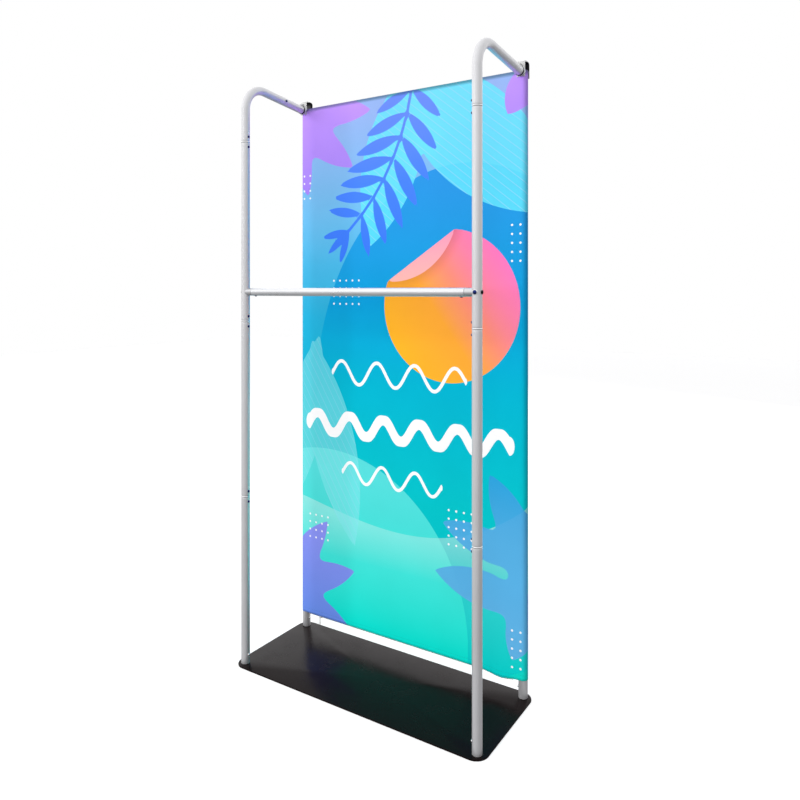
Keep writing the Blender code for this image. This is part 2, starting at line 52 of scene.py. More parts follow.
# Camera and studio. The camera is level, at chest height, in front of the stand and to its right. A large
# soft lamp stands high on the left, with weaker ones on the right and behind. The room that metal mirrors is
# bright above and dim below, so that a tube goes from white on its upper side to dark grey underneath.
camera = bpy.data.objects.new("camera", bpy.data.cameras.new("camera"))
scene.collection.objects.link(camera)
camera.location = (1.4314, -2.0818, 1.4019)
camera.rotation_euler = (math.pi / 2, 0.0, 0.5712)
camera.data.sensor_width = 36.0
camera.data.lens = 31.6
camera.data.shift_y = -0.1369
scene.camera = camera
scene.view_settings.view_transform = "Standard"


def linear(code):
    """Linear red, green, blue and alpha of an sRGB hex colour: each channel is divided by 12.92 when it is
    dark, and else has 0.055 added, is divided by 1.055 and raised to the power 2.4."""
    channels = [int(code[i:i + 2], 16) / 255 for i in (1, 3, 5)]
    return tuple(c / 12.92 if c <= 0.04045 else ((c + 0.055) / 1.055) ** 2.4 for c in channels) + (1.0,)


def add(tree, kind, inputs=(), stops=(), **settings):
    """Adds a node with its settings. inputs maps a socket's name, or its number among those in use, to a
    value or to the node whose first output in use feeds it. stops are a colour ramp's places and colours."""
    node = tree.nodes.new("ShaderNode" + kind)
    for setting, value in settings.items():
        setattr(node, setting, value)
    while stops and len(node.color_ramp.elements) < len(stops):
        node.color_ramp.elements.new(0.5)
    for element, (position, colour) in zip(node.color_ramp.elements if stops else (), stops):
        element.position, element.color = position, colour
    for key, value in dict(inputs).items():
        used = [s for s in node.inputs if s.enabled]
        socket = used[key] if isinstance(key, int) else next(s for s in used if s.name == key)
        if isinstance(value, bpy.types.Node):
            value = next(s for s in value.outputs if s.enabled)
        if isinstance(value, bpy.types.NodeSocket):
            tree.links.new(value, socket)
        else:
            socket.default_value = value
    return node


world = bpy.data.worlds.new("studio")
scene.world = world
world.use_nodes = True
sky = world.node_tree
away = add(sky, "SeparateXYZ", {0: add(sky, "TexCoord").outputs["Generated"]})
height = add(sky, "MapRange", {0: away.outputs["Z"], 1: -1.0, 2: 1.0})
room = add(sky, "ValToRGB", {0: height}, [(share, (level, level, level * 1.01, 1)) for share, level in (
    (0.00, 0.14), (0.27, 0.40), (0.42, 0.54), (0.50, 0.76), (0.60, 1.16), (0.70, 1.28), (1.00, 1.28))])
side = add(sky, "MapRange", {0: away.outputs["X"], 1: -1.0, 2: 1.0, 3: 1.12, 4: 0.72})
mirrored = add(sky, "MixRGB", {0: 1.0, 1: room, 2: side}, blend_type="MULTIPLY")
rays = add(sky, "LightPath")
soft = add(sky, "MixRGB", {0: rays.outputs["Is Diffuse Ray"], 1: mirrored, 2: (0.36, 0.36, 0.37, 1)})
seen = add(sky, "MixRGB", {0: rays.outputs["Is Camera Ray"], 1: soft, 2: (1, 1, 1, 1)})
sky.links.new(seen.outputs[0], sky.nodes["Background"].inputs["Color"])

for lamp_name, spot, aim_height, size, watts in (("key", (-3.2, -7.2, 3.0), 1.0, 4.0, 480.0),
                                                ("fill", (3.2, -5.0, 1.0), 0.8, 3.0, 55.0),
                                                ("back", (2.4, 6.4, 2.6), 1.0, 4.0, 230.0)):
    lamp = bpy.data.objects.new(lamp_name, bpy.data.lights.new(lamp_name, "AREA"))
    scene.collection.objects.link(lamp)
    lamp.data.size = size
    lamp.data.energy = watts
    lamp.location = spot
    lamp.rotation_euler = (Vector((0, 0, aim_height)) - Vector(spot)).to_track_quat("-Z", "Y").to_euler()
    lamp.visible_glossy = False


# Floor: a plain pale studio floor, painted and matt. It isn't part of the stand.
def finish(name, colour, roughness, metallic=0.0):
    """A Principled material with these settings, its node tree and its shader."""
    material = bpy.data.materials.new(name)
    material.use_nodes = True
    shader = material.node_tree.nodes["Principled BSDF"]
    shader.inputs["Base Color"].default_value = linear(colour)
    shader.inputs["Roughness"].default_value = roughness
    shader.inputs["Metallic"].default_value = metallic
    return material, material.node_tree, shader


def lead(tree, shader, sources):
    """Leads each node's first output to the shader's socket of that name."""
    for socket, source in sources.items():
        tree.links.new(source.outputs[0], shader.inputs[socket])


def flat_map(across, along):
    """Map metres for a grid: the first number runs across its columns and the second along its rows."""
    return np.stack(np.broadcast_arrays(across, along), -1)


weld_within = 0.000002


def build(name, grids, material, smooth_under=35.0):
    """An object from grids of points. Each grid is (points, map, kept): rows by columns of points, map
    metres of the same size for a pattern, and which quads are kept, where None keeps all. Points that meet
    are welded, and faces are turned outwards."""
    points, maps, quads, first = [], [], [], 0
    for grid, flat, kept in grids:
        rows, columns = grid.shape[:2]
        corner = first + np.arange(rows * columns).reshape(rows, columns)
        faces = np.stack([corner[:-1, :-1], corner[:-1, 1:], corner[1:, 1:], corner[1:, :-1]], -1)
        quads.append(faces.reshape(-1, 4) if kept is None else faces[kept])
        points.append(grid.reshape(-1, 3))
        maps.append(np.zeros((rows * columns, 2)) if flat is None else flat.reshape(-1, 2))
        first += rows * columns
    quads = np.concatenate(quads)
    mesh = bpy.data.meshes.new(name)
    mesh.from_pydata(np.concatenate(points).tolist(), [], quads.tolist())
    layer = mesh.uv_layers.new(name="map")
    layer.data.foreach_set("uv", np.concatenate(maps)[quads.ravel()].ravel())
    welded = bmesh.new()
    welded.from_mesh(mesh)
    bmesh.ops.remove_doubles(welded, verts=welded.verts, dist=weld_within)
    bmesh.ops.recalc_face_normals(welded, faces=welded.faces)
    welded.to_mesh(mesh)
    welded.free()
    mesh.shade_smooth()
    mesh.set_sharp_from_angle(angle=math.radians(smooth_under))
    mesh.materials.append(material)
    made = bpy.data.objects.new(name, mesh)
    scene.collection.objects.link(made)
    return made


# Floor paint: a matt white emulsion. It glows a little, so that the floor is as pale as the room beyond it.
floor_paint, tree, shader = finish("matt_floor_paint", "#F7F7F6", 0.8)
shader.inputs["Emission Color"].default_value = (1.0, 1.0, 1.0, 1.0)
shader.inputs["Emission Strength"].default_value = 0.51
floor_half = 14.0
floor_level = -0.0005
reach = np.linspace(-floor_half, floor_half, 13)
floor_points = np.stack(np.broadcast_arrays(reach[None, :], reach[:, None], floor_level), -1)
floor = build("studio_floor", [(floor_points, None, None)], floor_paint)
floor.visible_glossy = False
floor.visible_diffuse = False


# Base plate: one 5 mm sheet of steel with round corners, its edges broken by hand, then powder coated
# satin black and baked. It is heavy enough to hold the stand up by itself.
def settle(made, body, slot, *nodes):
    """The piece rides on that body and stands for those CAD nodes, which are hidden. slot is not used."""
    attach(made, body)
    if nodes:
        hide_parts(*nodes)
    return made


def plate(outline, thickness, arris, place):
    """Grid of a flat convex plate. Rows run from the middle of its underside, out along the inset outline,
    round the arris and up the edge, and back in to the middle of the top; the outline is inset along the
    mean of its two edges' normals. place puts outline and height into space."""
    edge = np.roll(outline, -1, 0) - outline
    normal = np.stack([edge[:, 1], -edge[:, 0]], -1) / np.linalg.norm(edge, axis=1)[:, None]
    mean = normal + np.roll(normal, 1, 0)
    mean /= (mean * normal).sum(1)[:, None]
    swing = np.radians([0, 30, 60, 90])
    inset = arris * (1 - np.sin(swing))
    rise = arris * (1 - np.cos(swing))
    inset = np.concatenate([inset, inset[::-1]])
    level = np.concatenate([rise, thickness - rise[::-1]])
    rings = outline[None] - inset[:, None, None] * mean[None]
    middle = np.broadcast_to(outline.mean(0), (1, *outline.shape))
    rings = np.concatenate([middle, rings, middle])
    level = np.concatenate([[0.0], level, [thickness]])
    rings = np.concatenate([rings, rings[:, :1]], 1)
    return place(rings[..., 0], rings[..., 1], level[:, None]), rings, None


def arc(centre, radius, start, end, steps):
    """Points on an arc: the centre, plus the radius times the cosine and sine of angles in degrees."""
    angle = np.radians(np.linspace(start, end, steps + 1))
    return np.stack([centre[0] + radius * np.cos(angle), centre[1] + radius * np.sin(angle)], -1)


def round_rectangle(low, high, radius, steps):
    """Outline of a rectangle between two corners, with a quarter circle of that radius at each corner."""
    near, far = np.add(low, radius), np.subtract(high, radius)
    corners = ((far[0], far[1]), (near[0], far[1]), (near[0], near[1]), (far[0], near[1]))
    return np.concatenate([arc(corner, radius, 90 * i, 90 * i + 90, steps) for i, corner in enumerate(corners)])


def laid(origin, first, second, through):
    """Place of a flat plate: the origin, plus the outline's two numbers and the height along their ways."""
    ways = np.array([first, second, through], float)

    def place(x, y, z):
        return np.array(origin) + np.stack(np.broadcast_arrays(x, y, z), -1) @ ways
    return place


# Powder coat: a satin black polyester film with fine orange peel; the peel is 1 mm in life, drawn at 2 mm.
powder_coat, tree, shader = finish("satin_black_powder_coat", "#120909", 0.26)
shader.inputs["Specular IOR Level"].default_value = 0.075
here = add(tree, "TexCoord").outputs["Object"]
peel = add(tree, "TexNoise", {"Vector": here, "Scale": 1 / 0.002, "Detail": 1.0})
rubbed = add(tree, "TexNoise", {"Vector": here, "Scale": 1 / 0.09, "Detail": 5.0, "Roughness": 0.62})
dull = add(tree, "MapRange", {0: rubbed, 1: 0.30, 2: 0.72, 3: 0.18, 4: 0.32})
dust = add(tree, "TexVoronoi", {"Vector": here, "Scale": 1 / 0.011})
speck = add(tree, "MapRange", {0: dust, 1: 0.07, 2: 0.03, 3: 0.0, 4: 0.16})
tint = add(tree, "MixRGB", {0: speck, 1: linear("#120909"), 2: linear("#4A4644")})
relief = add(tree, "Bump", {"Height": peel, "Strength": 0.10, "Distance": 0.0004})
lead(tree, shader, {"Base Color": tint, "Roughness": dull, "Normal": relief})

plate_low, plate_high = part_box("base_plate")
plate_corner_radius = 0.045
plate_arris = 0.0008
rightward, rearward, up = np.eye(3)
plate_outline = round_rectangle(plate_low[:2], plate_high[:2], plate_corner_radius, 16)
base_plate = build("base_plate_sheet", [plate(plate_outline, plate_high.z, plate_arris,
                                              laid((0, 0, 0), rightward, rearward, up))], powder_coat, 25.0)
settle(base_plate, "frame", "black_coat", "base_plate")


# Pegs: zinc-plated steel stubs, welded to the plate. The posts stand over them and hide them, so the CAD
# pegs stay, in a better finish.
def dress(material, *nodes):
    """Gives CAD nodes that stay in sight, or stay inside others, this material."""
    for node in nodes:
        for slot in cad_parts[node].material_slots:
            slot.material = material


def mottled(name, colour, roughness, metallic, grain, detail, dull=None, over=(0.3, 0.7), tones=None, relief=0.0):
    """A finish under one noise, whose grain is a size in metres. Where they are given, the noise moves the
    roughness between two values, the colour between two stops, and the height with that strength."""
    material, tree, shader = finish(name, colour, roughness, metallic)
    noise = add(tree, "TexNoise", {"Vector": add(tree, "TexCoord").outputs["Object"], "Scale": 1 / grain,
                                   "Detail": detail})
    if dull:
        lead(tree, shader, {"Roughness": add(tree, "MapRange", {0: noise, 1: over[0], 2: over[1],
                                                                3: dull[0], 4: dull[1]})})
    if tones:
        stops = [(share, linear(code)) for share, code in tones]
        lead(tree, shader, {"Base Color": add(tree, "ValToRGB", {0: noise}, stops)})
    if relief:
        lead(tree, shader, {"Normal": add(tree, "Bump", {"Height": noise, "Strength": relief,
                                                         "Distance": 0.0002})})
    return material


# Bright zinc: an electroplated coat over drawn steel, slightly blue, with soft clouding 15 mm across.
bright_zinc = mottled("bright_zinc_plate", "#D9DDE2", 0.22, 1.0, 0.015, 4.0, dull=(0.14, 0.30))
dress(bright_zinc, *("base_peg_" + corner for corner in ("front_left", "front_right", "rear_left", "rear_right")))

# Posts: aluminium tube, 32 mm across with a 1.5 mm wall, cut in lengths that fit in a bag. The tubes are
# drawn, cut, rolled over slightly at the ends, drilled for the snap buttons and lacquered satin silver.
tube_wall = 0.0015
tube_roll = 0.0010
button_radius = 0.0045
hole_clearance = 0.0003
button_to_joint = 0.019
peg_button_height = 0.034


def straight(origin, axis, outward):
    """Place on a straight tube: the origin, plus height along the axis, plus radius along the outward
    direction turned about the axis by that share of a full turn."""
    origin, axis, outward = (np.array(v, float) for v in (origin, axis, outward))
    round_way = np.cross(axis, outward)

    def place(turn, rise, radius):
        turn, rise, radius = np.broadcast_arrays(turn, rise, radius)
        angle = 2 * np.pi * turn[..., None]
        way = np.cos(angle) * outward + np.sin(angle) * round_way
        return origin + rise[..., None] * axis + radius[..., None] * way
    return place


def drilled_tube(place, outer, inner, length, holes=(), stations=(), roll=tube_roll, sides=48):
    """Grids of a tube's closed wall with round holes. The section runs round the rolled end, up the outside,
    down the inside and back. Each hole, given as turn, height and radius, takes a square window out of both
    skins; rings that go evenly from the window's edge to the circle fill it, and a short wall joins them."""
    pitch = 2 * math.pi * outer / sides
    windows = [(turn, rise, radius, math.ceil(radius / pitch) + 1) for turn, rise, radius in holes]
    levels = [x for x in (*np.linspace(roll, length - roll, 8), *stations)
              if all(abs(x - rise) > cells * pitch + 1e-5 for _, rise, _, cells in windows)]
    for _, rise, _, cells in windows:
        levels.extend(rise + pitch * np.arange(-cells, cells + 1))
    levels = np.unique(np.round(levels, 8))
    swing = np.radians([90, 60, 30])
    curl_height = roll * (1 - np.sin(swing))
    curl_radius = outer - roll * (1 - np.cos(swing))
    rise = np.concatenate([curl_height, levels, length - curl_height[::-1], [length], levels[::-1], [0, 0]])
    radius = np.concatenate([curl_radius, np.full(len(levels), outer), curl_radius[::-1], [inner],
                             np.full(len(levels), inner), [inner, curl_radius[0]]])
    turn = np.linspace(0, 1, sides + 1)
    middle_rise = (rise[1:] + rise[:-1])[:, None] / 2
    middle_turn = (turn[1:] + turn[:-1])[None, :] / 2
    kept = np.ones((len(rise) - 1, sides), bool)
    around = 2 * math.pi * outer
    grids = []
    for at_turn, at_rise, hole, cells in windows:
        edge = cells * pitch
        kept &= ~((abs(middle_rise - at_rise) < edge) & (abs(middle_turn - at_turn) * around < edge))
        run = np.arange(-cells, cells)
        whole = np.full(2 * cells, cells)
        border = pitch * np.concatenate([np.stack(v, -1) for v in (
            (run, -whole), (whole, run), (-run, whole), (-whole, -run), ([-cells], [-cells]))])
        circle = hole * border / np.linalg.norm(border, axis=1)[:, None]
        share = np.linspace(0, 1, 4)[:, None, None]
        patch = border * (1 - share) + circle * share
        for skin in (outer, inner):
            spread = place(at_turn + patch[..., 0] / around, at_rise + patch[..., 1], skin)
            grids.append((spread, patch + (at_turn * around, at_rise), None))
        depth = np.array([[outer], [inner]])
        grids.append((place(at_turn + circle[None, :, 0] / around, at_rise + circle[None, :, 1], depth),
                      np.repeat(circle[None], 2, 0), None))
    wall = place(turn[None, :], rise[:, None], radius[:, None])
    return [(wall, flat_map(turn[None, :] * around, rise[:, None]), kept), *grids]


# Satin silver: a silver lacquer over drawn tube. Aluminium flakes in it give two thirds of a metal's shine, and
# the rest is soft grey. The draw lines show through along the tube, 0.2 mm apart in life, drawn at 0.8 mm.
def drawn_metal(name, colour, roughness, metallic, along=0.05, lines=0.0008):
    """A drawn metal: long thin noise along the tube's own map moves its roughness and height a little."""
    material, tree, shader = finish(name, colour, roughness, metallic)
    across = add(tree, "VectorMath", {0: add(tree, "UVMap", uv_map="map"), 1: (1 / lines, 1 / along, 1.0)},
                 operation="MULTIPLY")
    streak = add(tree, "TexNoise", {"Vector": across, "Scale": 1.0, "Detail": 3.0})
    patch = add(tree, "TexNoise", {"Vector": add(tree, "TexCoord").outputs["Object"], "Scale": 1 / 0.12,
                                   "Detail": 3.0})
    both = add(tree, "Math", {0: streak, 1: patch}, operation="ADD")
    dull = add(tree, "MapRange", {0: both, 1: 0.6, 2: 1.4, 3: roughness - 0.05, 4: roughness + 0.06})
    tone = add(tree, "MapRange", {0: both, 1: 0.6, 2: 1.4, 3: 0.94, 4: 1.03})
    shade = add(tree, "MixRGB", {0: 1.0, 1: linear(colour), 2: tone}, blend_type="MULTIPLY")
    relief = add(tree, "Bump", {"Height": streak, "Strength": 0.08, "Distance": 0.0002})
    lead(tree, shader, {"Base Color": shade, "Roughness": dull, "Normal": relief})
    return material


satin_silver = drawn_metal("satin_silver_flake_lacquer", "#DCDCDE", 0.40, 0.66)
fit_gap = 0.0003
plug_radius = 0.0142
plug_bore = 0.0127
swage_length = 0.050
tee_button_radius = 0.0065
sides_of_stand = (("left", -1), ("right", 1))


def middle_of(node):
    """The middle of a node's box."""
    low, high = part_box(node)
    return (np.array(low) + np.array(high)) / 2


post_x, front_y, _ = middle_of("front_right_lower_tube")
rear_y = middle_of("rear_right_lower_tube")[1]
rail_height = middle_of("clothes_rail")[2]
tube_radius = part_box("front_right_lower_tube")[1].x - post_x
tube_bore = tube_radius - tube_wall
ring_heights = {level: middle_of(f"front_right_{level}_coupler")[2] for level in ("lower", "middle", "upper")}
peg_button_level = plate_high.z + peg_button_height
hole = button_radius + hole_clearance
post_holes = {
    "lower": [(0.5, peg_button_level, hole), (0.5, ring_heights["lower"] - button_to_joint, hole)],
    "middle": [(0.5, ring_heights["lower"] + button_to_joint, hole),
               (0.5, ring_heights["middle"] - button_to_joint, hole)],
    "rail": [(0.5, ring_heights["middle"] + button_to_joint, hole),
             (0.75, rail_height, tee_button_radius + hole_clearance),
             (0.5, ring_heights["upper"] - button_to_joint, hole)]}
for word, side in sides_of_stand:
    for level, holes in post_holes.items():
        low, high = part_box(f"front_{word}_{level}_tube")
        grids = drilled_tube(straight((side * post_x, front_y, low.z), up, (side, 0, 0)), tube_radius, tube_bore,
                             high.z - low.z, [(turn, rise - low.z, size) for turn, rise, size in holes])
        settle(build(f"front_{word}_{level}_post", grids, satin_silver), "frame", "silver_tube",
               f"front_{word}_{level}_tube")
    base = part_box(f"rear_{word}_lower_tube")[0].z
    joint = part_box(f"rear_{word}_upper_tube")[0].z - fit_gap
    grids = drilled_tube(straight((side * post_x, rear_y, base), up, (side, 0, 0)), tube_radius, tube_bore,
                         joint - base, [(0.5, peg_button_level - base, hole)])
    swage = drilled_tube(straight((side * post_x, rear_y, joint - tube_wall), up, (side, 0, 0)), plug_radius,
                         plug_bore, swage_length + tube_wall)
    settle(build(f"rear_{word}_lower_post", grids + swage, satin_silver), "frame", "silver_tube",
           f"rear_{word}_lower_tube")
dress(satin_silver, "rear_left_upper_tube", "rear_right_upper_tube", "top_bar")


# Couplers: a steel sleeve pushed into both tubes, with a turned and polished ring that the tubes stop
# against. The ring shows as a bright band between two dark joint lines. A blind rivet holds each sleeve.
def turned(profile, place, sides=40):
    """Grid of a profile of (height, radius) points carried once round an axis."""
    profile = np.array(profile, float)
    turn = np.linspace(0, 1, sides + 1)[None, :]
    across = turn * 2 * np.pi * profile[:, 1].max()
    return place(turn, profile[:, :1], profile[:, 1:]), flat_map(across, profile[:, :1]), None


def rounded(low, high, inner, outer, radius, steps=4):
    """Closed profile of a ring: straight bore and ends, and quarter circles of that radius on its outer edges."""
    swing = np.radians(np.linspace(0, 90, steps + 1))
    out = outer - radius + radius * np.sin(swing)
    back = radius * (1 - np.cos(swing))
    below = np.stack([low + back, out], -1)
    above = np.stack([high - back[::-1], out[::-1]], -1)
    return np.concatenate([[(low, inner)], below, above, [(high, inner)], [(low, inner)]])


# Polished ring: turned steel, buffed and bright-plated, so it mirrors the room with only a light haze. Lathe
# lines 0.4 mm apart run round it.
polished_steel, tree, shader = finish("polished_plated_steel", "#F8F8F8", 0.14, 1.0)
here = add(tree, "TexCoord").outputs["Object"]
lathe_way = add(tree, "VectorMath", {0: here, 1: (1 / 0.025, 1 / 0.025, 1 / 0.0004)}, operation="MULTIPLY")
rings = add(tree, "TexNoise", {"Vector": lathe_way, "Scale": 1.0, "Detail": 2.0})
lead(tree, shader, {"Roughness": add(tree, "MapRange", {0: rings, 1: 0.3, 2: 0.7, 3: 0.06, 4: 0.18})})

rivet_to_joint = 0.033
rivet_radius = 0.0024
rivet_height = 0.0011
rivet_sunk = 0.0002
rivet_tail = 0.0006
ring_foot = tube_radius - 0.0009
ring_bulge = 0.0020
tube_below = {"lower": "lower", "middle": "middle", "upper": "rail"}
for word, side in sides_of_stand:
    for level, middle in ring_heights.items():
        coupler = f"front_{word}_{level}_coupler"
        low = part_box(coupler)[0]
        ring_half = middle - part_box(f"front_{word}_{tube_below[level]}_tube")[1].z - fit_gap
        half = middle - low.z
        grids = drilled_tube(straight((side * post_x, front_y, low.z), up, (side, 0, 0)), plug_radius, plug_bore,
                             2 * half, [(0.5, half - button_to_joint, hole), (0.5, half + button_to_joint, hole)])
        settle(build(f"{coupler}_sleeve", grids, bright_zinc), "frame", "zinc_steel", coupler)
        centre = straight((side * post_x, front_y, middle), up, (side, 0, 0))
        angle = np.radians(np.linspace(-90, 90, 13))
        bead = np.stack([ring_half * np.sin(angle), ring_foot + ring_bulge * np.cos(angle)], -1)
        ends = [(-ring_half, plug_radius), (ring_half, plug_radius), (-ring_half, plug_radius)]
        bead = np.concatenate([ends[:1], bead, ends[1:]])
        settle(build(f"{coupler}_ring", [turned(bead, centre)], polished_steel), "frame", "zinc_steel")
        angle = np.radians(np.linspace(90, 0, 6))
        dome = [(tube_radius - rivet_sunk + rivet_height * math.sin(a), rivet_radius * math.cos(a)) for a in angle]
        rivet = turned([*dome, (tube_radius - rivet_tail, rivet_radius), (tube_radius - rivet_tail, 0.0)],
                       straight((side * post_x, front_y, middle + rivet_to_joint), (-side, 0, 0), up), 20)
        settle(build(f"{coupler}_rivet", [rivet], polished_steel), "frame", "zinc_steel")


# Snap buttons: a domed pin on a bent spring leaf inside the tube. Pressed in, it lets the tubes slide apart.
# The joint buttons are blued spring steel, and those at the base are chromed.
leaf_length = 0.022
leaf_width = 0.008
leaf_thickness = 0.0006
leaf_arris = 0.0001
flange_margin = 0.0015
flange_thickness = 0.0008
dome_share = 0.75

# Blueing: steel heated until a thin oxide film turns it navy; it stays a polished metal with a soft haze.
# The film varies over 4 mm.
blued_steel = mottled("blued_spring_steel", "#23306E", 0.16, 1.0, 0.004, 3.0, dull=(0.10, 0.24),
                      tones=((0.30, "#18204F"), (0.70, "#2D3F8C")))

# Chrome: a polished plate over nickel, near a mirror, with fingerprints as faint dull clouds 6 mm across.
chrome = mottled("chromium_plate", "#F2F3F5", 0.06, 1.0, 0.006, 4.0, dull=(0.05, 0.16), over=(0.45, 0.75))


def snap_button(node, origin, outward, leaf_way, proud, metal, slot, radius=button_radius):
    """A button whose foot and tip are where its CAD box begins and ends along outward. Its profile is a flange,
    a straight shank and a quarter ellipse; the leaf is a round-ended strip that leaves the flange."""
    outward, leaf_way, origin = (np.array(v, float) for v in (outward, leaf_way, origin))
    foot, tip = sorted(abs((np.array(corner) - origin) @ outward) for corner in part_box(node))
    dome = proud * dome_share
    angle = np.radians(np.linspace(0, 90, 9))
    cap = np.stack([tip - dome + dome * np.sin(angle), radius * np.cos(angle)], -1)
    flange = radius + flange_margin
    profile = np.concatenate([[(foot, 0), (foot, flange), (foot + flange_thickness, flange),
                               (foot + flange_thickness, radius)], cap])
    end = arc((leaf_length - leaf_width / 2, 0), leaf_width / 2, -90, 90, 10)
    outline = np.concatenate([end, [(0, leaf_width / 2), (0, -leaf_width / 2)]])
    lay = laid(origin + (foot + leaf_arris) * outward, leaf_way, np.cross(outward, leaf_way), outward)
    button = build(node + "_pin", [turned(profile, straight(origin, outward, leaf_way), 28),
                                   plate(outline, leaf_thickness, leaf_arris, lay)], metal)
    settle(button, node, slot, node)


joint_proud = 0.0045
for word, side in sides_of_stand:
    inward = (-side, 0, 0)
    for level, middle in ring_heights.items():
        for place_word, way in (("top", 1), ("bottom", -1)):
            snap_button(f"front_{word}_{level}_{place_word}_button",
                        (side * post_x, front_y, middle + way * button_to_joint), inward, (0, 0, way), joint_proud,
                        blued_steel, "blued_steel")
    for corner, y in (("front", front_y), ("rear", rear_y)):
        snap_button(f"peg_button_{corner}_{word}", (side * post_x, y, peg_button_level), inward, up, joint_proud,
                    chrome, "chrome")


# Arms: the top length of each front post is bent over on a 90 mm former and falls a little towards the
# banner, where a hook in its end drops over the rear frame's top bar.
arm_drop = math.radians(5.5)
arm_turn = math.pi / 2 + arm_drop
arm_leg_length = 0.1189
bend_radius = 0.090
arm_button_setback = 0.118
hook_gap = 0.0005
hook_thickness = 0.003
collar_thickness = 0.004
arm_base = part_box("front_right_arm_tube")[0].z
banner_low, banner_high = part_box("banner")
arm_end_y = banner_low.y - hook_gap - hook_thickness - collar_thickness - fit_gap
bend_length = bend_radius * arm_turn
bend_end_y = front_y + bend_radius * (1 - math.cos(arm_turn))
arm_length = arm_leg_length + bend_length + (arm_end_y - bend_end_y) / math.cos(arm_drop)


def along_arm(side, start=0.0):
    """Place on an arm, at heights measured along its centre line. The line goes straight up, round a circle
    through the turn, and straight on; the tube's outward direction stays outward, and the other is square to
    it and to the line."""
    def place(turn, rise, radius):
        turn, rise, radius = np.broadcast_arrays(turn, np.add(rise, start), radius)
        swing = np.clip((rise - arm_leg_length) / bend_radius, 0, arm_turn)
        before = np.minimum(rise, arm_leg_length)
        past = np.maximum(rise - arm_leg_length - bend_length, 0)
        angle = 2 * np.pi * turn
        sideways = radius * np.sin(angle) * side
        x = side * (post_x + radius * np.cos(angle))
        y = front_y + bend_radius * (1 - np.cos(swing)) + past * np.sin(swing) + sideways * np.cos(swing)
        z = arm_base + before + bend_radius * np.sin(swing) + past * np.cos(swing) - sideways * np.sin(swing)
        return np.stack([x, y, z], -1)
    return place


for word, side in sides_of_stand:
    button_at = arm_length - arm_button_setback
    bend_stations = np.linspace(arm_leg_length, arm_leg_length + bend_length, 36)
    grids = drilled_tube(along_arm(side), tube_radius, tube_bore, arm_length,
                         [(0.5, ring_heights["upper"] + button_to_joint - arm_base, hole), (0.5, button_at, hole)],
                         bend_stations)
    settle(build(f"front_{word}_arm", grids, satin_silver), "frame", "silver_tube", f"front_{word}_arm_tube")
    centre = along_arm(side)(0.0, button_at, 0.0)
    snap_button(f"arm_button_{word}", centre, (-side, 0, 0), (0, -math.cos(arm_drop), math.sin(arm_drop)),
                joint_proud, blued_steel, "blued_steel")

# Hooks: a flat steel bar bent over the top bar, welded to a plugged shank in the arm's end, with a small
# gusset above. The bar is painted pale grey and dipped in black vinyl, which has rubbed through at its tail.
collar_proud = 0.0015
hook_shank_length = 0.145
hook_width = 0.030
hook_height = 0.045
hook_tail = 0.010
hook_corner_radius = 0.010
gusset_length = 0.024
gusset_thickness = 0.004
gusset_arris = 0.0006
arm_over_bar = 0.006
bar_height = middle_of("top_bar")[2]

# Black oxide: steel dipped in a hot salt bath and oiled, dark and smooth with a greasy half gloss, which
# varies over 2 mm.
black_oxide = mottled("oiled_black_oxide_steel", "#1B1B1E", 0.28, 1.0, 0.002, 4.0, dull=(0.20, 0.38))

# Dipped hook: pale grey stoved paint on the front leg, and gloss black vinyl from the bend back. Sliding on and
# off has rubbed the tail grey, in scratches about 3 mm apart.
dipped_steel, tree, shader = finish("vinyl_dipped_painted_steel", "#0E0E10", 0.16)
here = add(tree, "TexCoord").outputs["Object"]
here_parts = add(tree, "SeparateXYZ", {0: here})
scuff = add(tree, "TexNoise", {"Vector": here, "Scale": 1 / 0.003, "Detail": 6.0, "Roughness": 0.7})
low_down = add(tree, "MapRange", {0: here_parts.outputs["Z"], 1: bar_height + 0.028, 2: bar_height + 0.004,
                                  3: 0.0, 4: 0.75})
behind = add(tree, "MapRange", {0: here_parts.outputs["Y"], 1: rear_y, 2: rear_y + 0.01})
worn = add(tree, "Math", {0: low_down, 1: behind}, operation="MULTIPLY")
worn_through = add(tree, "MapRange", {0: add(tree, "Math", {0: scuff, 1: worn}, operation="ADD"), 1: 0.80, 2: 0.95})
vinyl = add(tree, "MixRGB", {0: worn_through, 1: linear("#0C0C0E"), 2: linear("#8C8C8E")})
dip_line = add(tree, "MapRange", {0: here_parts.outputs["Y"], 1: rear_y - 0.0044, 2: rear_y - 0.0040})
shade = add(tree, "MixRGB", {0: dip_line, 1: linear("#D2D2D0"), 2: vinyl})
dull = add(tree, "MapRange", {0: add(tree, "Math", {0: scuff, 1: worn_through}, operation="ADD"), 1: 0.3, 2: 1.4,
                              3: 0.12, 4: 0.42})
lead(tree, shader, {"Base Color": shade, "Roughness": dull})

# Grey paint: a pale satin stoved enamel, as on the hook's front leg, with an eggshell ripple every 1.5 mm.
grey_paint = mottled("pale_grey_stoved_paint", "#D6D6D4", 0.34, 0.0, 0.0015, 2.0, dull=(0.28, 0.42), relief=0.10)

bar_section = round_rectangle((-10, -1), (10, 1), 0.3, 3) / (10, 1)


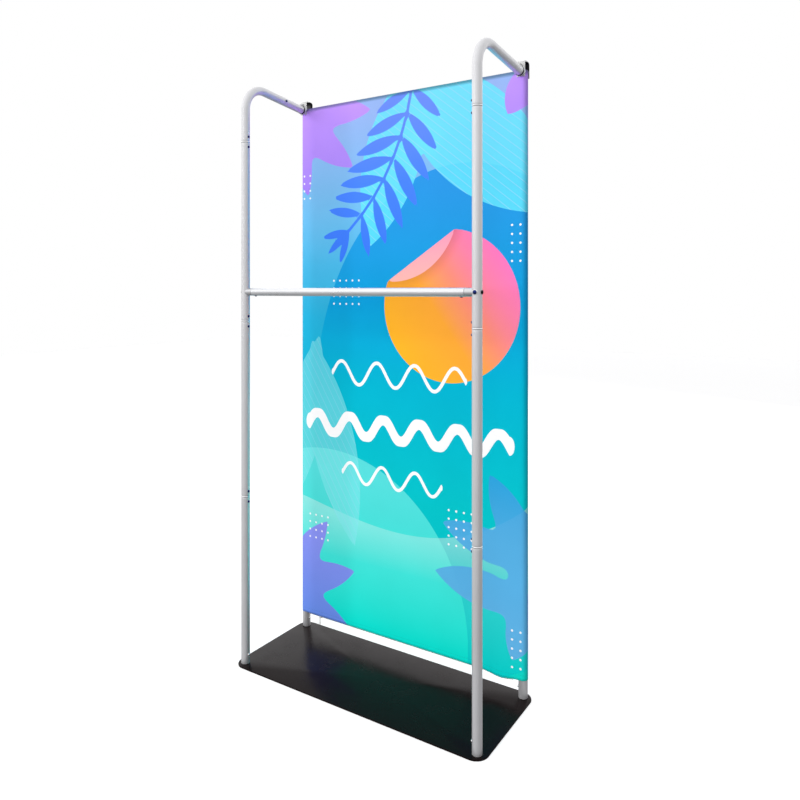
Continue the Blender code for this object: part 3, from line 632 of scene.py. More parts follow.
def strip(path, across, width, thickness, swell):
    """Grid of a bar bent along a path in one plane. A section that is a rounded rectangle is scaled to the
    width along across, and to the thickness, times the swell there, along the path's normal. The two ends
    close on the path itself."""
    way = np.gradient(path, axis=0)
    normal = np.cross(across, way)
    normal /= np.linalg.norm(normal, axis=1)[:, None]
    section = np.concatenate([bar_section, bar_section[:1]])
    wide = section[None, :, :1] * width / 2 * np.array(across, float)
    thick = section[None, :, 1:] * (thickness / 2 * np.asarray(swell))[:, None, None] * normal[:, None]
    rows = path[:, None] + wide + thick
    ends = [np.broadcast_to(path[i], (1, *rows.shape[1:])) for i in (0, -1)]
    return np.concatenate([ends[0], rows, ends[1]]), None, None


hook_inner = banner_high.y - rear_y + hook_gap
hook_middle = hook_inner + hook_thickness / 2
corner_radius = hook_corner_radius - hook_thickness / 2
top_level = hook_height - hook_thickness / 2
foot = arm_over_bar - tube_radius
front_run = np.linspace(foot, top_level - corner_radius, 10)[:-1]
rear_run = np.linspace(top_level - corner_radius, -hook_tail, 22)[1:]
hook_line = np.concatenate([
    np.stack([np.full(len(front_run), -hook_middle), front_run], -1),
    arc((corner_radius - hook_middle, top_level - corner_radius), corner_radius, 180, 90, 8),
    arc((hook_middle - corner_radius, top_level - corner_radius), corner_radius, 90, 0, 8),
    np.stack([np.full(len(rear_run), hook_middle), rear_run], -1)])
tail_share = np.clip((hook_line[:, 1] + hook_tail) / 0.004, 0, 1)
swell = np.where(hook_line[:, 0] > 0, 0.35 + 0.65 * tail_share, 1.0)
above_arm = arm_over_bar + tube_radius + 2 * fit_gap + math.tan(arm_drop) * gusset_length
web_front = -hook_inner - hook_thickness - gusset_length
web_back = -hook_inner - hook_thickness / 2
web_outline = np.array([(web_front, above_arm + gusset_thickness / 2), (web_front, above_arm),
                        (web_back, above_arm), (web_back, hook_height - hook_corner_radius)])
sleeve_back = 0.0105
sleeve_front = 0.0045
for word, side in sides_of_stand:
    hook_points = np.stack([np.full(len(hook_line), side * post_x), rear_y + hook_line[:, 0],
                            bar_height + hook_line[:, 1]], -1)
    bar = build(f"hook_bar_{word}", [strip(hook_points, (1, 0, 0), hook_width, hook_thickness, swell)], dipped_steel)
    settle(bar, "frame", "black_hook", f"arm_hook_{word}")
    seat = along_arm(side, arm_length + fit_gap)
    collar = turned(rounded(0.0, collar_thickness, 0.0, tube_radius + collar_proud, 0.0008), seat)
    shank = drilled_tube(along_arm(side, arm_length - hook_shank_length), plug_radius, plug_bore,
                         hook_shank_length, [(0.5, hook_shank_length - arm_button_setback, hole)])
    cuff = turned(rounded(-sleeve_back, -sleeve_front, tube_radius, tube_radius + 0.0009, 0.0006), seat)
    settle(build(f"hook_collar_{word}", [collar, *shank], bright_zinc), "frame", "zinc_steel")
    settle(build(f"hook_cuff_{word}", [cuff], black_oxide), "frame", "black_hook")
    stood = laid((side * post_x - gusset_thickness / 2, rear_y, bar_height), rearward, up, rightward)
    web = build(f"hook_gusset_{word}", [plate(web_outline, gusset_thickness, gusset_arris, stood)], grey_paint, 40.0)
    settle(web, "frame", "silver_tube")

# Rail stubs: a socket whose end is coped to sit round the post, held by a bolt through it. The rail pushes
# over the spigot and is locked by a button underneath.
rail_low, rail_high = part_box("clothes_rail")
rail_radius = (rail_high.z - rail_low.z) / 2
rail_wall = 0.0015
stub_reach = 0.039
spigot_length = 0.045
spigot_radius = rail_radius - rail_wall - fit_gap
stub_radius = (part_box("rail_stub_right")[1].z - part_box("rail_stub_right")[0].z) / 2
rail_button_inset = 0.014
rail_button_proud = 0.0027
tee_proud = 0.0040
bolt_radius = 0.0030
bolt_head_radius = 0.0065
bolt_head_height = 0.0035
bolt_dome_height = 0.0028
bolt_reach = 0.034
key_width = 0.004
key_depth = 0.0022


def coped_stub(place):
    """Grid of the socket. A point at a radius and turn starts where it meets the post: at the root of the post's
    radius squared less its own sideways distance squared."""
    turn = np.linspace(0, 1, 49)[None, :]
    swing = np.radians(np.linspace(0, 90, 4))
    edge = 0.0016
    root_radius = np.linspace(bolt_radius, stub_radius, 5)[:, None]
    sideways = root_radius * np.sin(2 * np.pi * turn)
    root = np.sqrt((tube_radius + fit_gap) ** 2 - sideways ** 2)
    body = [(stub_radius, s) for s in (0.022, 0.027, 0.032)]
    body += [(stub_radius - edge * (1 - math.cos(a)), stub_reach - edge + edge * math.sin(a)) for a in swing]
    body += [(bolt_radius, stub_reach)]
    body = np.array(body)
    wide = np.ones((1, turn.shape[1]))
    radius = np.concatenate([root_radius * wide, body[:, :1] * wide, root_radius[:1] * wide])
    rise = np.concatenate([root, body[:, 1:] * wide, root[:1]])
    return place(turn, rise, radius), flat_map(turn * 2 * np.pi * stub_radius, rise), None


def key_bolt(place):
    """Grid of a button-head bolt. The head is an ellipse turned round its axis down to a key socket, whose
    radius at each turn is half its width over the cosine of the angle from the nearest of six sides."""
    turn = np.linspace(0, 1, 49)[None, :]
    from_side = np.mod(turn * 6 + 0.5, 1.0) - 0.5
    key = key_width / 2 / np.cos(from_side * math.pi / 3)
    under = -(tube_radius + fit_gap)
    top = under - bolt_head_height
    share = np.linspace(0.35, 1.0, 7)[:, None]
    head = key * (1 - (share - 0.35) / 0.65) + bolt_head_radius * (share - 0.35) / 0.65
    rise = top + bolt_dome_height * (1 - np.sqrt(np.clip(1 - (head / bolt_head_radius) ** 2, 0, 1)))
    wide = np.ones((1, turn.shape[1]))
    inside = [(0.0 * wide, (top + key_depth) * wide), (key * 1.0, (top + key_depth) * wide)]
    shank = [(bolt_head_radius, under), (bolt_radius, under), (bolt_radius, bolt_reach), (0.0, bolt_reach)]
    radius = np.concatenate([inside[0][0], inside[1][0], head, *[r * wide for r, _ in shank]])
    height = np.concatenate([inside[0][1], inside[1][1], rise, *[h * wide for _, h in shank]])
    return place(turn, height, radius), flat_map(turn, height), None


# Cast socket: aluminium die casting, blasted with fine beads before anodising, duller than the drawn tubes.
# The dents are drawn 1.2 mm apart.
cast_silver = mottled("bead_blasted_cast_aluminium", "#D8D9DB", 0.42, 1.0, 0.0012, 2.0, dull=(0.36, 0.50),
                      relief=0.25)

rail_half = rail_high.x
for word, side in sides_of_stand:
    inward = (-side, 0, 0)
    centre = (side * post_x, front_y, rail_height)
    stub_place = straight(centre, inward, up)
    spigot = drilled_tube(straight((side * (post_x - stub_reach), front_y, rail_height), inward, up), spigot_radius,
                          spigot_radius - tube_wall, spigot_length,
                          [(0.5, rail_button_inset + fit_gap, button_radius + hole_clearance)])
    settle(build(f"rail_socket_{word}", [coped_stub(stub_place), *spigot], cast_silver), "frame", "silver_tube",
           f"rail_stub_{word}")
    settle(build(f"rail_socket_bolt_{word}", [key_bolt(stub_place)], black_oxide, 25.0), "frame", "blued_steel",
           f"rail_bolt_{word}")
    snap_button(f"tee_button_{word}", centre, (0, -side, 0), up, tee_proud, blued_steel, "blued_steel",
                tee_button_radius)
    rim = rounded(tube_radius - 0.0028, tube_radius + 0.0010, tee_button_radius + 0.0006,
                  tee_button_radius + 0.0024, 0.0007)
    settle(build(f"tee_button_rim_{word}", [turned(rim, straight(centre, (0, -side, 0), up), 32)], polished_steel),
           "frame", "zinc_steel")
    snap_button(f"rail_button_{word}", (side * (rail_half - rail_button_inset), front_y, rail_height), (0, 0, -1),
                inward, rail_button_proud, blued_steel, "blued_steel")

# Clothes rail: one length of slightly thinner tube than the posts, cut and deburred, with a hole near each
# end for its button. Hangers run along the top of it, so it is the most polished of the tubes.
rail_silver = drawn_metal("anodised_drawn_aluminium", "#E4E5E7", 0.30, 0.85)
rail_grids = drilled_tube(straight((-rail_half, front_y, rail_height), (1, 0, 0), up), rail_radius,
                          rail_radius - rail_wall, 2 * rail_half,
                          [(0.5, rail_button_inset, hole), (0.5, 2 * rail_half - rail_button_inset, hole)],
                          roll=0.0014)
settle(build("hanging_rail", rail_grids, rail_silver), "frame", "silver_tube", "clothes_rail")

# Corner connectors: moulded nylon elbows that join the rear posts to the top bar, inside the banner. They
# keep their CAD shape; glass fibre in the nylon leaves a fine mottle on the moulded skin.
glass_nylon = mottled("moulded_glass_filled_nylon", "#37373B", 0.48, 0.0, 0.0018, 4.0,
                      tones=((0.35, "#2F2F33"), (0.65, "#424247")), relief=0.2)
dress(glass_nylon, "corner_connector_left", "corner_connector_right")

# Banner: a pillowcase of stretch polyester knit, printed, sewn up at the sides and top, pulled down over
# the rear frame and drawn tight. Its lower edge is turned up and stitched to the zip.
cloth_thickness = 0.0005
wrap_radius = banner_high.y - rear_y
hem_level = banner_low.z
dip_depth = 0.0092
dip_middle = 0.405
dip_width = 0.043
flat_edge = post_x
wrap_length = wrap_radius * math.pi / 2
corner_power = 6
wrap_steps = wrap_length * np.linspace(0.2, 1, 5)
cloth_across = np.concatenate([-flat_edge - wrap_steps[::-1], np.linspace(-flat_edge, flat_edge, 101),
                               flat_edge + wrap_steps])
cloth_up = np.concatenate([hem_level + (bar_height - hem_level) * np.linspace(0, 1, 203) ** 1.04,
                           bar_height + wrap_steps])


def hem_dip(x):
    """How far the lower edge hangs below straight: one bell-shaped dip where the cloth is slack at the right."""
    return dip_depth * np.exp(-((x - dip_middle) / dip_width) ** 2)


def case(across, up_cloth, face):
    """Grid of one face of the pillowcase. Cloth metres run straight between the posts and then round a quarter
    circle at each side and at the top. Depth from the seam is the radius times both cosines, over the root
    of the sum of their powers less their product, so it is a circle along each edge and blends at the
    corners. Near the hem it follows the dip and puckers slightly, in waves that fade upwards."""
    u, v = np.meshgrid(across, up_cloth)
    turn_u = np.clip((np.abs(u) - flat_edge) / wrap_radius, 0, math.pi / 2)
    turn_v = np.clip((v - bar_height) / wrap_radius, 0, math.pi / 2)
    cos_u, cos_v = (np.maximum(np.cos(a), 1e-6) for a in (turn_u, turn_v))
    blend = cos_u ** corner_power + cos_v ** corner_power - (cos_u * cos_v) ** corner_power
    depth = wrap_radius * cos_u * cos_v / blend ** (1 / corner_power)
    depth = np.where((turn_u > 1.5707) | (turn_v > 1.5707), 0.0, depth)
    pulled = 0.004 * (np.sin(turn_u) * np.sin(turn_v)) ** 6
    x = np.sign(u) * (np.minimum(np.abs(u), flat_edge) + wrap_radius * np.sin(turn_u) - pulled)
    z = np.minimum(v, bar_height) + wrap_radius * np.sin(turn_v) - pulled
    above = v - hem_level
    inside = np.clip((flat_edge - 0.03 - np.abs(u)) / 0.03, 0, 1)
    if face < 0:
        z = z - hem_dip(u) * np.clip(1 - above / 0.16, 0, 1) ** 2
    slack = 0.25 + 1.6 * np.exp(-((u - dip_middle + 0.02) / 0.09) ** 2)
    ripple = 1 + np.sin(2 * np.pi * u / 0.027 + 0.8 * np.sin(9 * u))
    pucker = 0.0007 * slack * np.exp(-above / 0.045) * ripple
    y = rear_y + face * (depth + inside * pucker)
    return np.stack([x, y, z], -1), flat_map(-face * u, v), None


def fused(first, second, reach):
    """The lesser of two distances, rounded where they are within reach of each other: less the square of what
    is left of reach, over four times reach."""
    left = np.maximum(reach - np.abs(first - second), 0)
    return np.minimum(first, second) - left ** 2 / (4 * reach)


def leaflet(u, v, foot, heading, length, width):
    """Signed distance of a pointed leaflet, where two equal circles overlap: the distance to the farther centre,
    less the radius. Its heading is in degrees."""
    heading, half, wide = math.radians(heading), length / 2, width / 2
    circle = (half ** 2 + wide ** 2) / (2 * wide)
    along = (u - foot[0]) * math.cos(heading) + (v - foot[1]) * math.sin(heading) - half
    across = np.abs((v - foot[1]) * math.cos(heading) - (u - foot[0]) * math.sin(heading))
    return np.hypot(along, across + circle - wide) - circle


def frond(u, v, root, bend, tip, pairs, length, width, sweep, stem=0.006, reach=0.004):
    """Signed distance, below nothing inside, of a leaf of paired leaflets. They stand on a quadratic curve from
    root to tip, pulled towards bend, lean from it by the sweep angle, and are fused with each other and
    with the stem, which is the distance to the nearest of the curve's chords, less half its width."""
    root, bend, tip = (np.array(p, float) for p in (root, bend, tip))
    nearest = np.full(u.shape, 9.0)
    last = root
    for share in np.linspace(0.04, 1.0, pairs):
        at = (1 - share) ** 2 * root + 2 * share * (1 - share) * bend + share ** 2 * tip
        way = (1 - share) * (bend - root) + share * (tip - bend)
        chord = at - last
        along = np.clip(((u - last[0]) * chord[0] + (v - last[1]) * chord[1]) / (chord @ chord), 0, 1)
        off_chord = np.hypot(u - last[0] - along * chord[0], v - last[1] - along * chord[1])
        nearest = np.minimum(nearest, off_chord - stem)
        last = at
        size = length * (0.62 + 0.38 * math.sin(math.pi * share))
        for lean in (-sweep, sweep) if share < 1 else (-0.55 * sweep, 0.0, 0.55 * sweep):
            heading = math.degrees(math.atan2(way[1], way[0])) + lean
            nearest = fused(nearest, leaflet(u, v, at, heading, size, width * size / length), reach)
    return nearest


def lobed(u, v, lobes, reach=0.055):
    """Signed distance of a leaf of pointed lobes, fused where they meet. Each is the place of its foot, its heading
    in degrees, its length and its width."""
    nearest = np.full(u.shape, 9.0)
    for foot_u, foot_v, heading, length, width in lobes:
        nearest = fused(nearest, leaflet(u, v, (foot_u, foot_v), heading, length, width), reach)
    return nearest


dot_pitch = 0.031
dot_radius = 0.004
dot_blocks = [(-16, -14, 57, 61), (-11, -6, 43, 47), (14, 16, 48, 53), (-15, -11, 12, 16), (6, 10, 15, 20),
              (14, 16, 3, 8)]
disc_middle = np.array([0.20, 1.345])
disc_radius = 0.280
fold_start = np.array([-0.083, 1.425])
fold_end = np.array([0.223, 1.622])


def print_fields(u, v):
    """Signed distance of each printed shape, by name, in cloth metres from the banner's middle and the floor."""
    fold_way = (fold_end - fold_start) / np.linalg.norm(fold_end - fold_start)
    off_fold = (v - fold_start[1]) * fold_way[0] - (u - fold_start[0]) * fold_way[1]
    mirror_u = u + 2 * off_fold * fold_way[1]
    mirror_v = v - 2 * off_fold * fold_way[0]
    in_disc = np.hypot(u - disc_middle[0], v - disc_middle[1]) - disc_radius
    folded = np.hypot(mirror_u - disc_middle[0], mirror_v - disc_middle[1]) - disc_radius
    blocks = [np.maximum.reduce([a * dot_pitch - u, u - b * dot_pitch, c * dot_pitch - v, v - d * dot_pitch])
              for a, b, c, d in dot_blocks]
    return {
        "pebble": (np.hypot((u - 0.25) / 0.67, (v - 0.95) / 0.91) - 1) * 0.7,
        "shallows": np.hypot(u + 0.36, v - 0.12) - 0.64,
        "swell": v - (0.48 + u ** 2 * (0.5 + 0.4 * u)),
        "cyan_leaf": np.minimum(leaflet(u, v, (-0.02, 2.24), -42, 0.86, 0.36),
                                leaflet(u, v, (0.06, 2.26), -107, 0.72, 0.26)),
        "violet_leaf": np.minimum(
            lobed(u, v, ((-0.56, 2.15, -6, 0.42, 0.12), (-0.56, 2.13, -36, 0.41, 0.12),
                         (-0.54, 2.12, -76, 0.34, 0.10))),
            leaflet(u, v, (0.54, 2.18), -122, 0.20, 0.11)),
        "blue_leaf": lobed(u, v, ((-0.58, 0.18, 52, 0.36, 0.11), (-0.60, 0.16, 19, 0.40, 0.12),
                                  (-0.60, 0.15, -16, 0.38, 0.11))),
        "grey_leaf": lobed(u, v, ((0.53, 0.46, 119, 0.34, 0.12), (0.52, 0.46, 164, 0.36, 0.11),
                                  (0.54, 0.32, 172, 0.40, 0.13), (0.52, 0.36, -107, 0.24, 0.11),
                                  (0.54, 0.18, 90, 0.46, 0.18))),
        "mint_leaf": np.minimum(leaflet(u, v, (-0.44, 1.20), -75, 0.84, 0.22),
                                leaflet(u, v, (-0.40, 1.22), -104, 0.78, 0.20)),
        "main_frond": frond(u, v, (0.06, 2.29), (0.03, 1.88), (-0.25, 1.64), 9, 0.225, 0.050, 55),
        "disc": np.maximum(in_disc, off_fold),
        "flap": np.maximum(folded, off_fold),
        "dots": np.minimum.reduce(blocks)}


# Printed knit: white stretch polyester with dye-sublimed colour, matt, with a light bloom where it turns away.
# The loops of the knit are 0.5 mm in life, drawn at 2 mm; the stitches of the hem are 3 mm.
printed_knit, tree, shader = finish("printed_polyester_knit", "#FFFFFF", 0.80)
shader.inputs["Sheen Weight"].default_value = 0.02
shader.inputs["Sheen Roughness"].default_value = 0.4
shader.inputs["Specular IOR Level"].default_value = 0.10
cloth_map = add(tree, "UVMap", uv_map="map")
map_parts = add(tree, "SeparateXYZ", {0: cloth_map})


soft_edge = 0.0006
up_the_cloth = (0.0, 1.0, 0.0)


def shade_over(low, high, stops, way=up_the_cloth):
    """A colour that goes through hex stops between two places along a way across the cloth."""
    across = add(tree, "VectorMath", {0: cloth_map, 1: way}, operation="DOT_PRODUCT")
    along = add(tree, "MapRange", {0: across.outputs["Value"], 1: low, 2: high})
    return add(tree, "ValToRGB", {0: along}, [(share, linear(code)) for share, code in stops])


def printed(field, strength=1.0):
    """A mask that is the strength inside a printed shape and nothing outside it, over a soft edge."""
    distance = add(tree, "Attribute", attribute_name=field).outputs["Fac"]
    return add(tree, "MapRange", {0: distance, 1: soft_edge, 2: -soft_edge, 3: 0.0, 4: strength})


print_colour = shade_over(0.0, 2.15, [(0.03, "#10D8C8"), (0.25, "#00CAC2"), (0.36, "#00C0C8"), (0.50, "#10B2D2"),
                                      (0.60, "#26B2DC"), (0.70, "#4AB8E6"), (0.80, "#70BCEC"),
                                      (0.98, "#98B6F0")])
layers = (
    ("pebble", 0.60, 1.86, [(0.0, "#00C3C8"), (0.35, "#00B4D0"), (0.6, "#089FDA"), (1.0, "#2F96E6")], 1.0),
    ("shallows", 0.10, 0.80, [(0.0, "#06E6D6"), (1.0, "#5EDCDD")], 1.0),
    ("swell", 0.08, 0.58, [(0.0, "#06E8D6"), (0.5, "#4CE8DC"), (1.0, "#D4FAF6")], 0.40),
    ("cyan_leaf", 1.60, 2.14, [(0.0, "#5EE0F8"), (1.0, "#6CE2FC")], 0.86),
    ("violet_leaf", 1.78, 2.14, [(0.0, "#A082F0"), (1.0, "#C296FF")], 1.0),
    ("blue_leaf", 0.07, 0.46, [(0.0, "#6A90EC"), (1.0, "#8E94F2")], 1.0),
    ("grey_leaf", 0.18, 0.75, [(0.0, "#66B2EA"), (0.6, "#50AAE2"), (1.0, "#2E9EDC")], 0.92),
    ("mint_leaf", 0.30, 1.10, [(0.0, "#84EAEE"), (1.0, "#7AE4E8")], 0.50),
    ("main_frond", 1.50, 2.14, [(0.0, "#3878F4"), (0.5, "#4A84FC"), (1.0, "#6E8EFC")], 1.0),
    ("disc", 0.69, 1.25, [(0.0, "#FFB628"), (0.40, "#FFAA38"), (0.62, "#FF9078"), (0.8, "#FF84A6"),
                          (1.0, "#FF7AC2")], 1.0))
slanted = {"disc": (0.8, 0.6, 0.0)}
veined = {"cyan_leaf": (0.62, 0.78, 0.0), "mint_leaf": (0.85, 0.53, 0.0)}
vein_pitch = 0.026
vein_half = 0.0011
for field, low, high, stops, strength in layers:
    mask = printed(field, strength)
    shade = shade_over(low, high, stops, slanted.get(field, up_the_cloth))
    print_colour = add(tree, "MixRGB", {0: mask, 1: print_colour, 2: shade})
    if field in veined:
        across = add(tree, "VectorMath", {0: cloth_map, 1: veined[field]}, operation="DOT_PRODUCT")
        from_vein = add(tree, "Math", {0: across.outputs["Value"], 1: vein_pitch / 2}, operation="PINGPONG")
        vein = add(tree, "MapRange", {0: from_vein, 1: vein_half + soft_edge, 2: vein_half - soft_edge,
                                      3: 0.0, 4: 0.55})
        both = add(tree, "Math", {0: vein, 1: mask}, operation="MULTIPLY")
        print_colour = add(tree, "MixRGB", {0: both, 1: print_colour, 2: linear("#B4D2F8")})

# The sticker's corner is drawn folded over: a soft shadow falls beside the flap, and the flap is paler.
shadow_reach = 0.045
off_flap = add(tree, "Attribute", attribute_name="flap").outputs["Fac"]
shadow = add(tree, "MapRange", {0: off_flap, 1: shadow_reach, 2: 0.0, 3: 0.0, 4: 0.30})
fold_shadow = add(tree, "Math", {0: shadow, 1: printed("disc")}, operation="MULTIPLY")
print_colour = add(tree, "MixRGB", {0: fold_shadow, 1: print_colour, 2: linear("#9A4A38")})
flap_colour = shade_over(1.42, 1.62, [(0.0, "#FFBCB0"), (1.0, "#FF9EBE")])
print_colour = add(tree, "MixRGB", {0: printed("flap"), 1: print_colour, 2: flap_colour})

# White brush lines: the distance off a sine wave, over the root of one plus its slope squared, joined with
# the distance past either end. White dots stand in blocks on a 31 mm grid.
brush_lines = ((-0.33, 0.27, 1.075, 0.045, 3.5, 0.0065), (-0.45, 0.44, 0.865, 0.036, 5.5, 0.0190),
               (-0.28, 0.17, 0.680, 0.038, 3.0, 0.0060))
white = None
for left, right, level, rise, waves, half in brush_lines:
    number = 2 * math.pi * waves / (right - left)
    inside = add(tree, "Clamp", {0: map_parts.outputs[0], 1: left, 2: right})
    angle = add(tree, "Math", {0: add(tree, "Math", {0: inside, 1: left}, operation="SUBTRACT"), 1: number},
                operation="MULTIPLY")
    line = add(tree, "Math", {0: add(tree, "Math", {0: angle}, operation="SINE"), 1: rise, 2: level},
               operation="MULTIPLY_ADD")
    slope = add(tree, "Math", {0: add(tree, "Math", {0: angle}, operation="COSINE"), 1: rise * number},
                operation="MULTIPLY")
    steep = add(tree, "Math", {0: slope, 1: slope, 2: 1.0}, operation="MULTIPLY_ADD")
    off = add(tree, "Math", {0: map_parts.outputs[1], 1: line}, operation="SUBTRACT")
    square = add(tree, "Math", {0: add(tree, "Math", {0: off, 1: off}, operation="MULTIPLY"), 1: steep},
                 operation="DIVIDE")
    past = add(tree, "Math", {0: map_parts.outputs[0], 1: inside}, operation="SUBTRACT")
    away_squared = add(tree, "Math", {0: past, 1: past, 2: square}, operation="MULTIPLY_ADD")
    distance = add(tree, "Math", {0: away_squared}, operation="SQRT")
    brush = add(tree, "MapRange", {0: distance, 1: half + soft_edge, 2: half - soft_edge})
    white = brush if white is None else add(tree, "Math", {0: white, 1: brush}, operation="MAXIMUM")
cell = add(tree, "VectorMath", {0: cloth_map, 1: (dot_pitch, dot_pitch, 1.0)}, operation="MODULO")
folded_cell = add(tree, "VectorMath", {0: add(tree, "VectorMath", {0: cell}, operation="ABSOLUTE"),
                                       1: (dot_pitch / 2, dot_pitch / 2, 0.0)}, operation="DISTANCE")
dot = add(tree, "MapRange", {0: folded_cell.outputs["Value"], 1: dot_radius + soft_edge, 2: dot_radius - soft_edge})
white_dots = add(tree, "Math", {0: dot, 1: printed("dots")}, operation="MULTIPLY")
white = add(tree, "Math", {0: white_dots, 1: white}, operation="MAXIMUM")
print_colour = add(tree, "MixRGB", {0: white, 1: print_colour, 2: linear("#FCFCFC")})

# The hem is stitched twice, and a seam closes each side. A narrow dark band at each side seam is partly the seam's
# own line and partly painted shade, and the whole top wrap is painted darker as shade where the cloth turns away
# from the lamps.
stitch_pitch = 0.0045
dash = add(tree, "Math", {0: add(tree, "Math", {0: map_parts.outputs[0], 1: stitch_pitch}, operation="PINGPONG"),
                          1: stitch_pitch * 0.36}, operation="GREATER_THAN")
rows = None
for level in (0.006, 0.018):
    row = add(tree, "Math", {0: map_parts.outputs[1], 1: hem_level + level, 2: 0.0007}, operation="COMPARE")
    rows = row if rows is None else add(tree, "Math", {0: rows, 1: row}, operation="ADD")
stitches = add(tree, "Math", {0: rows, 1: dash}, operation="MULTIPLY")
from_middle = add(tree, "Math", {0: map_parts.outputs[0]}, operation="ABSOLUTE")
# Dark band at each side seam: partly the seam's own line, partly painted shade of the cloth turning away.
side_seam_and_shade = add(tree, "MapRange", {0: from_middle, 1: flat_edge + wrap_length - 0.0022,
                                   2: flat_edge + wrap_length - 0.0008})
# Painted shade: the whole top wrap, from just below the top bar upwards, is darkened as if turned away from the
# lamps.
painted_top_shade = add(tree, "MapRange", {0: map_parts.outputs[1], 1: bar_height - 0.004, 2: bar_height + 0.006})
seam_lines_and_shade = add(tree, "Math", {0: side_seam_and_shade, 1: painted_top_shade}, operation="MAXIMUM")
stitches_and_shade = add(tree, "Math", {0: add(tree, "Math", {0: stitches, 1: 0.30}, operation="MULTIPLY"),
                          1: add(tree, "Math", {0: seam_lines_and_shade, 1: 0.60}, operation="MULTIPLY")}, operation="ADD")
uneven = add(tree, "TexNoise", {"Vector": cloth_map, "Scale": 1 / 0.25, "Detail": 2.0})
faded = add(tree, "MapRange", {0: uneven, 1: 0.3, 2: 0.7, 3: 0.97, 4: 1.02})
# The stitches and the painted edge shade darken the print towards a dark teal.
print_colour = add(tree, "MixRGB", {0: stitches_and_shade, 1: print_colour, 2: linear("#2C5A66")})
print_colour = add(tree, "MixRGB", {0: 1.0, 1: print_colour, 2: faded}, blend_type="MULTIPLY")
knit_pitch = 0.002
finer = add(tree, "VectorMath", {0: cloth_map, "Scale": 2 * math.pi / knit_pitch}, operation="SCALE")
loops = add(tree, "VectorMath", {0: finer}, operation="SINE")
loop_parts = add(tree, "SeparateXYZ", {0: loops})
knit = add(tree, "Math", {0: loop_parts.outputs[0], 1: loop_parts.outputs[1]}, operation="MULTIPLY")
sewn = add(tree, "Math", {0: stitches, 1: 1.5, 2: knit}, operation="MULTIPLY_ADD")
relief = add(tree, "Bump", {"Height": sewn, "Strength": 0.18, "Distance": 0.0003})
lead(tree, shader, {"Base Color": print_colour, "Normal": relief})

banner = build("banner_case", [case(cloth_across, cloth_up, face) for face in (-1, 1)], printed_knit, 60.0)
cloth_places = np.empty(2 * len(banner.data.loops), np.float32)
banner.data.uv_layers["map"].data.foreach_get("uv", cloth_places)
cloth_places = cloth_places.reshape(-1, 2).astype(float)
for field, distance in print_fields(cloth_places[:, 0], cloth_places[:, 1]).items():
    banner.data.attributes.new(field, "FLOAT", "CORNER").data.foreach_set("value", distance.astype(np.float32))
skin = banner.modifiers.new("thickness", "SOLIDIFY")
skin.thickness = cloth_thickness
skin.offset = -1.0
settle(banner, "frame", "banner_cloth", "banner")

# Zip: a plastic coil zip closes the bottom of the banner. One tape is sewn behind the front hem, and the
# other goes back under the frame to the rear hem.
chain_low, chain_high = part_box("zip_chain")
chain_y = (chain_low.y + chain_high.y) / 2
tooth_pitch = 0.003
tape_thickness = 0.0005
zip_run = np.linspace(chain_low.x, chain_high.x, 183)


def tape(profile):
    """Grid of a tape: a flat profile of (y, z) points, thickened along its normals, carried along the zip and
    lowered with the hem's dip."""
    profile = np.array(profile, float)
    way = np.gradient(profile, axis=0)
    normal = np.stack([-way[:, 1], way[:, 0]], -1) / np.linalg.norm(way, axis=1)[:, None]
    loop = np.concatenate([profile + normal * tape_thickness / 2, (profile - normal * tape_thickness / 2)[::-1]])
    loop = np.concatenate([loop, loop[:1]])
    share = np.clip((zip_run - chain_low.x) / 0.0001, 0, 1) * np.clip((chain_high.x - zip_run) / 0.0001, 0, 1)
    middle = loop[:-1].mean(0)
    loop = middle + (loop - middle)[:, None] * share[None, :, None]
    x = np.broadcast_to(zip_run, loop.shape[:2])
    return np.stack([x, loop[..., 0], loop[..., 1] - hem_dip(x)], -1), flat_map(x, loop[..., 1]), None


# Woven tape: narrow white polyester, its ribs 0.6 mm apart in life and drawn at 1.2 mm.
woven_tape, tree, shader = finish("woven_polyester_tape", "#E6EEF0", 0.75)
tape_map = add(tree, "UVMap", uv_map="map")
ribs = add(tree, "TexWave", {"Vector": tape_map, "Scale": 1 / 0.0012 / 3.14}, bands_direction="X")
relief = add(tree, "Bump", {"Height": ribs, "Strength": 0.35, "Distance": 0.0003})
shade = add(tree, "MixRGB", {0: ribs.outputs[1], 1: linear("#D2DDE1"), 2: linear("#EEF4F5")})
lead(tree, shader, {"Base Color": shade, "Normal": relief})

rear_hem_y = banner_high.y - 0.0012
front_tape = [(chain_low.y + 0.0012, hem_level + 0.020), (chain_low.y + 0.0012, hem_level + 0.010),
              (chain_low.y + 0.0012, hem_level + 0.002), (chain_y - 0.0006, chain_high.z - 0.0006)]
rear_tape = [(chain_y + 0.0006, chain_high.z - 0.0006), (chain_high.y + 0.001, chain_high.z + 0.0012),
             (chain_high.y + 0.010, hem_level + 0.002), (rear_hem_y - 0.006, hem_level + 0.002),
             (rear_hem_y - 0.001, hem_level + 0.004), (rear_hem_y - 0.0008, hem_level + 0.020)]
tapes = build("zip_tapes", [tape(front_tape), tape(rear_tape)], woven_tape, 50.0)
settle(tapes, "frame", "zip_tape", "zip_chain")

# Coil: nylon monofilament wound and sewn down, warm grey, each turn showing as a rounded tooth.
coil_nylon = mottled("nylon_zip_coil", "#7F756E", 0.40, 0.0, 0.02, 4.0, tones=((0.35, "#6A615B"), (0.65, "#938981")))


tooth_half = np.array([0.00115, 0.0017, 0.0012])
tooth_stagger = 0.0007


def tooth(*middle):
    """Grid of a tooth: an ellipsoid about its middle, longest across the chain."""
    around = np.radians(np.linspace(0, 360, 9))[None, :]
    down = np.radians(np.linspace(0, 180, 5))[:, None]
    ball = np.broadcast_arrays(np.cos(down), np.sin(down) * np.cos(around), np.sin(down) * np.sin(around))
    return np.array(middle) + tooth_half * np.stack(ball, -1), None, None


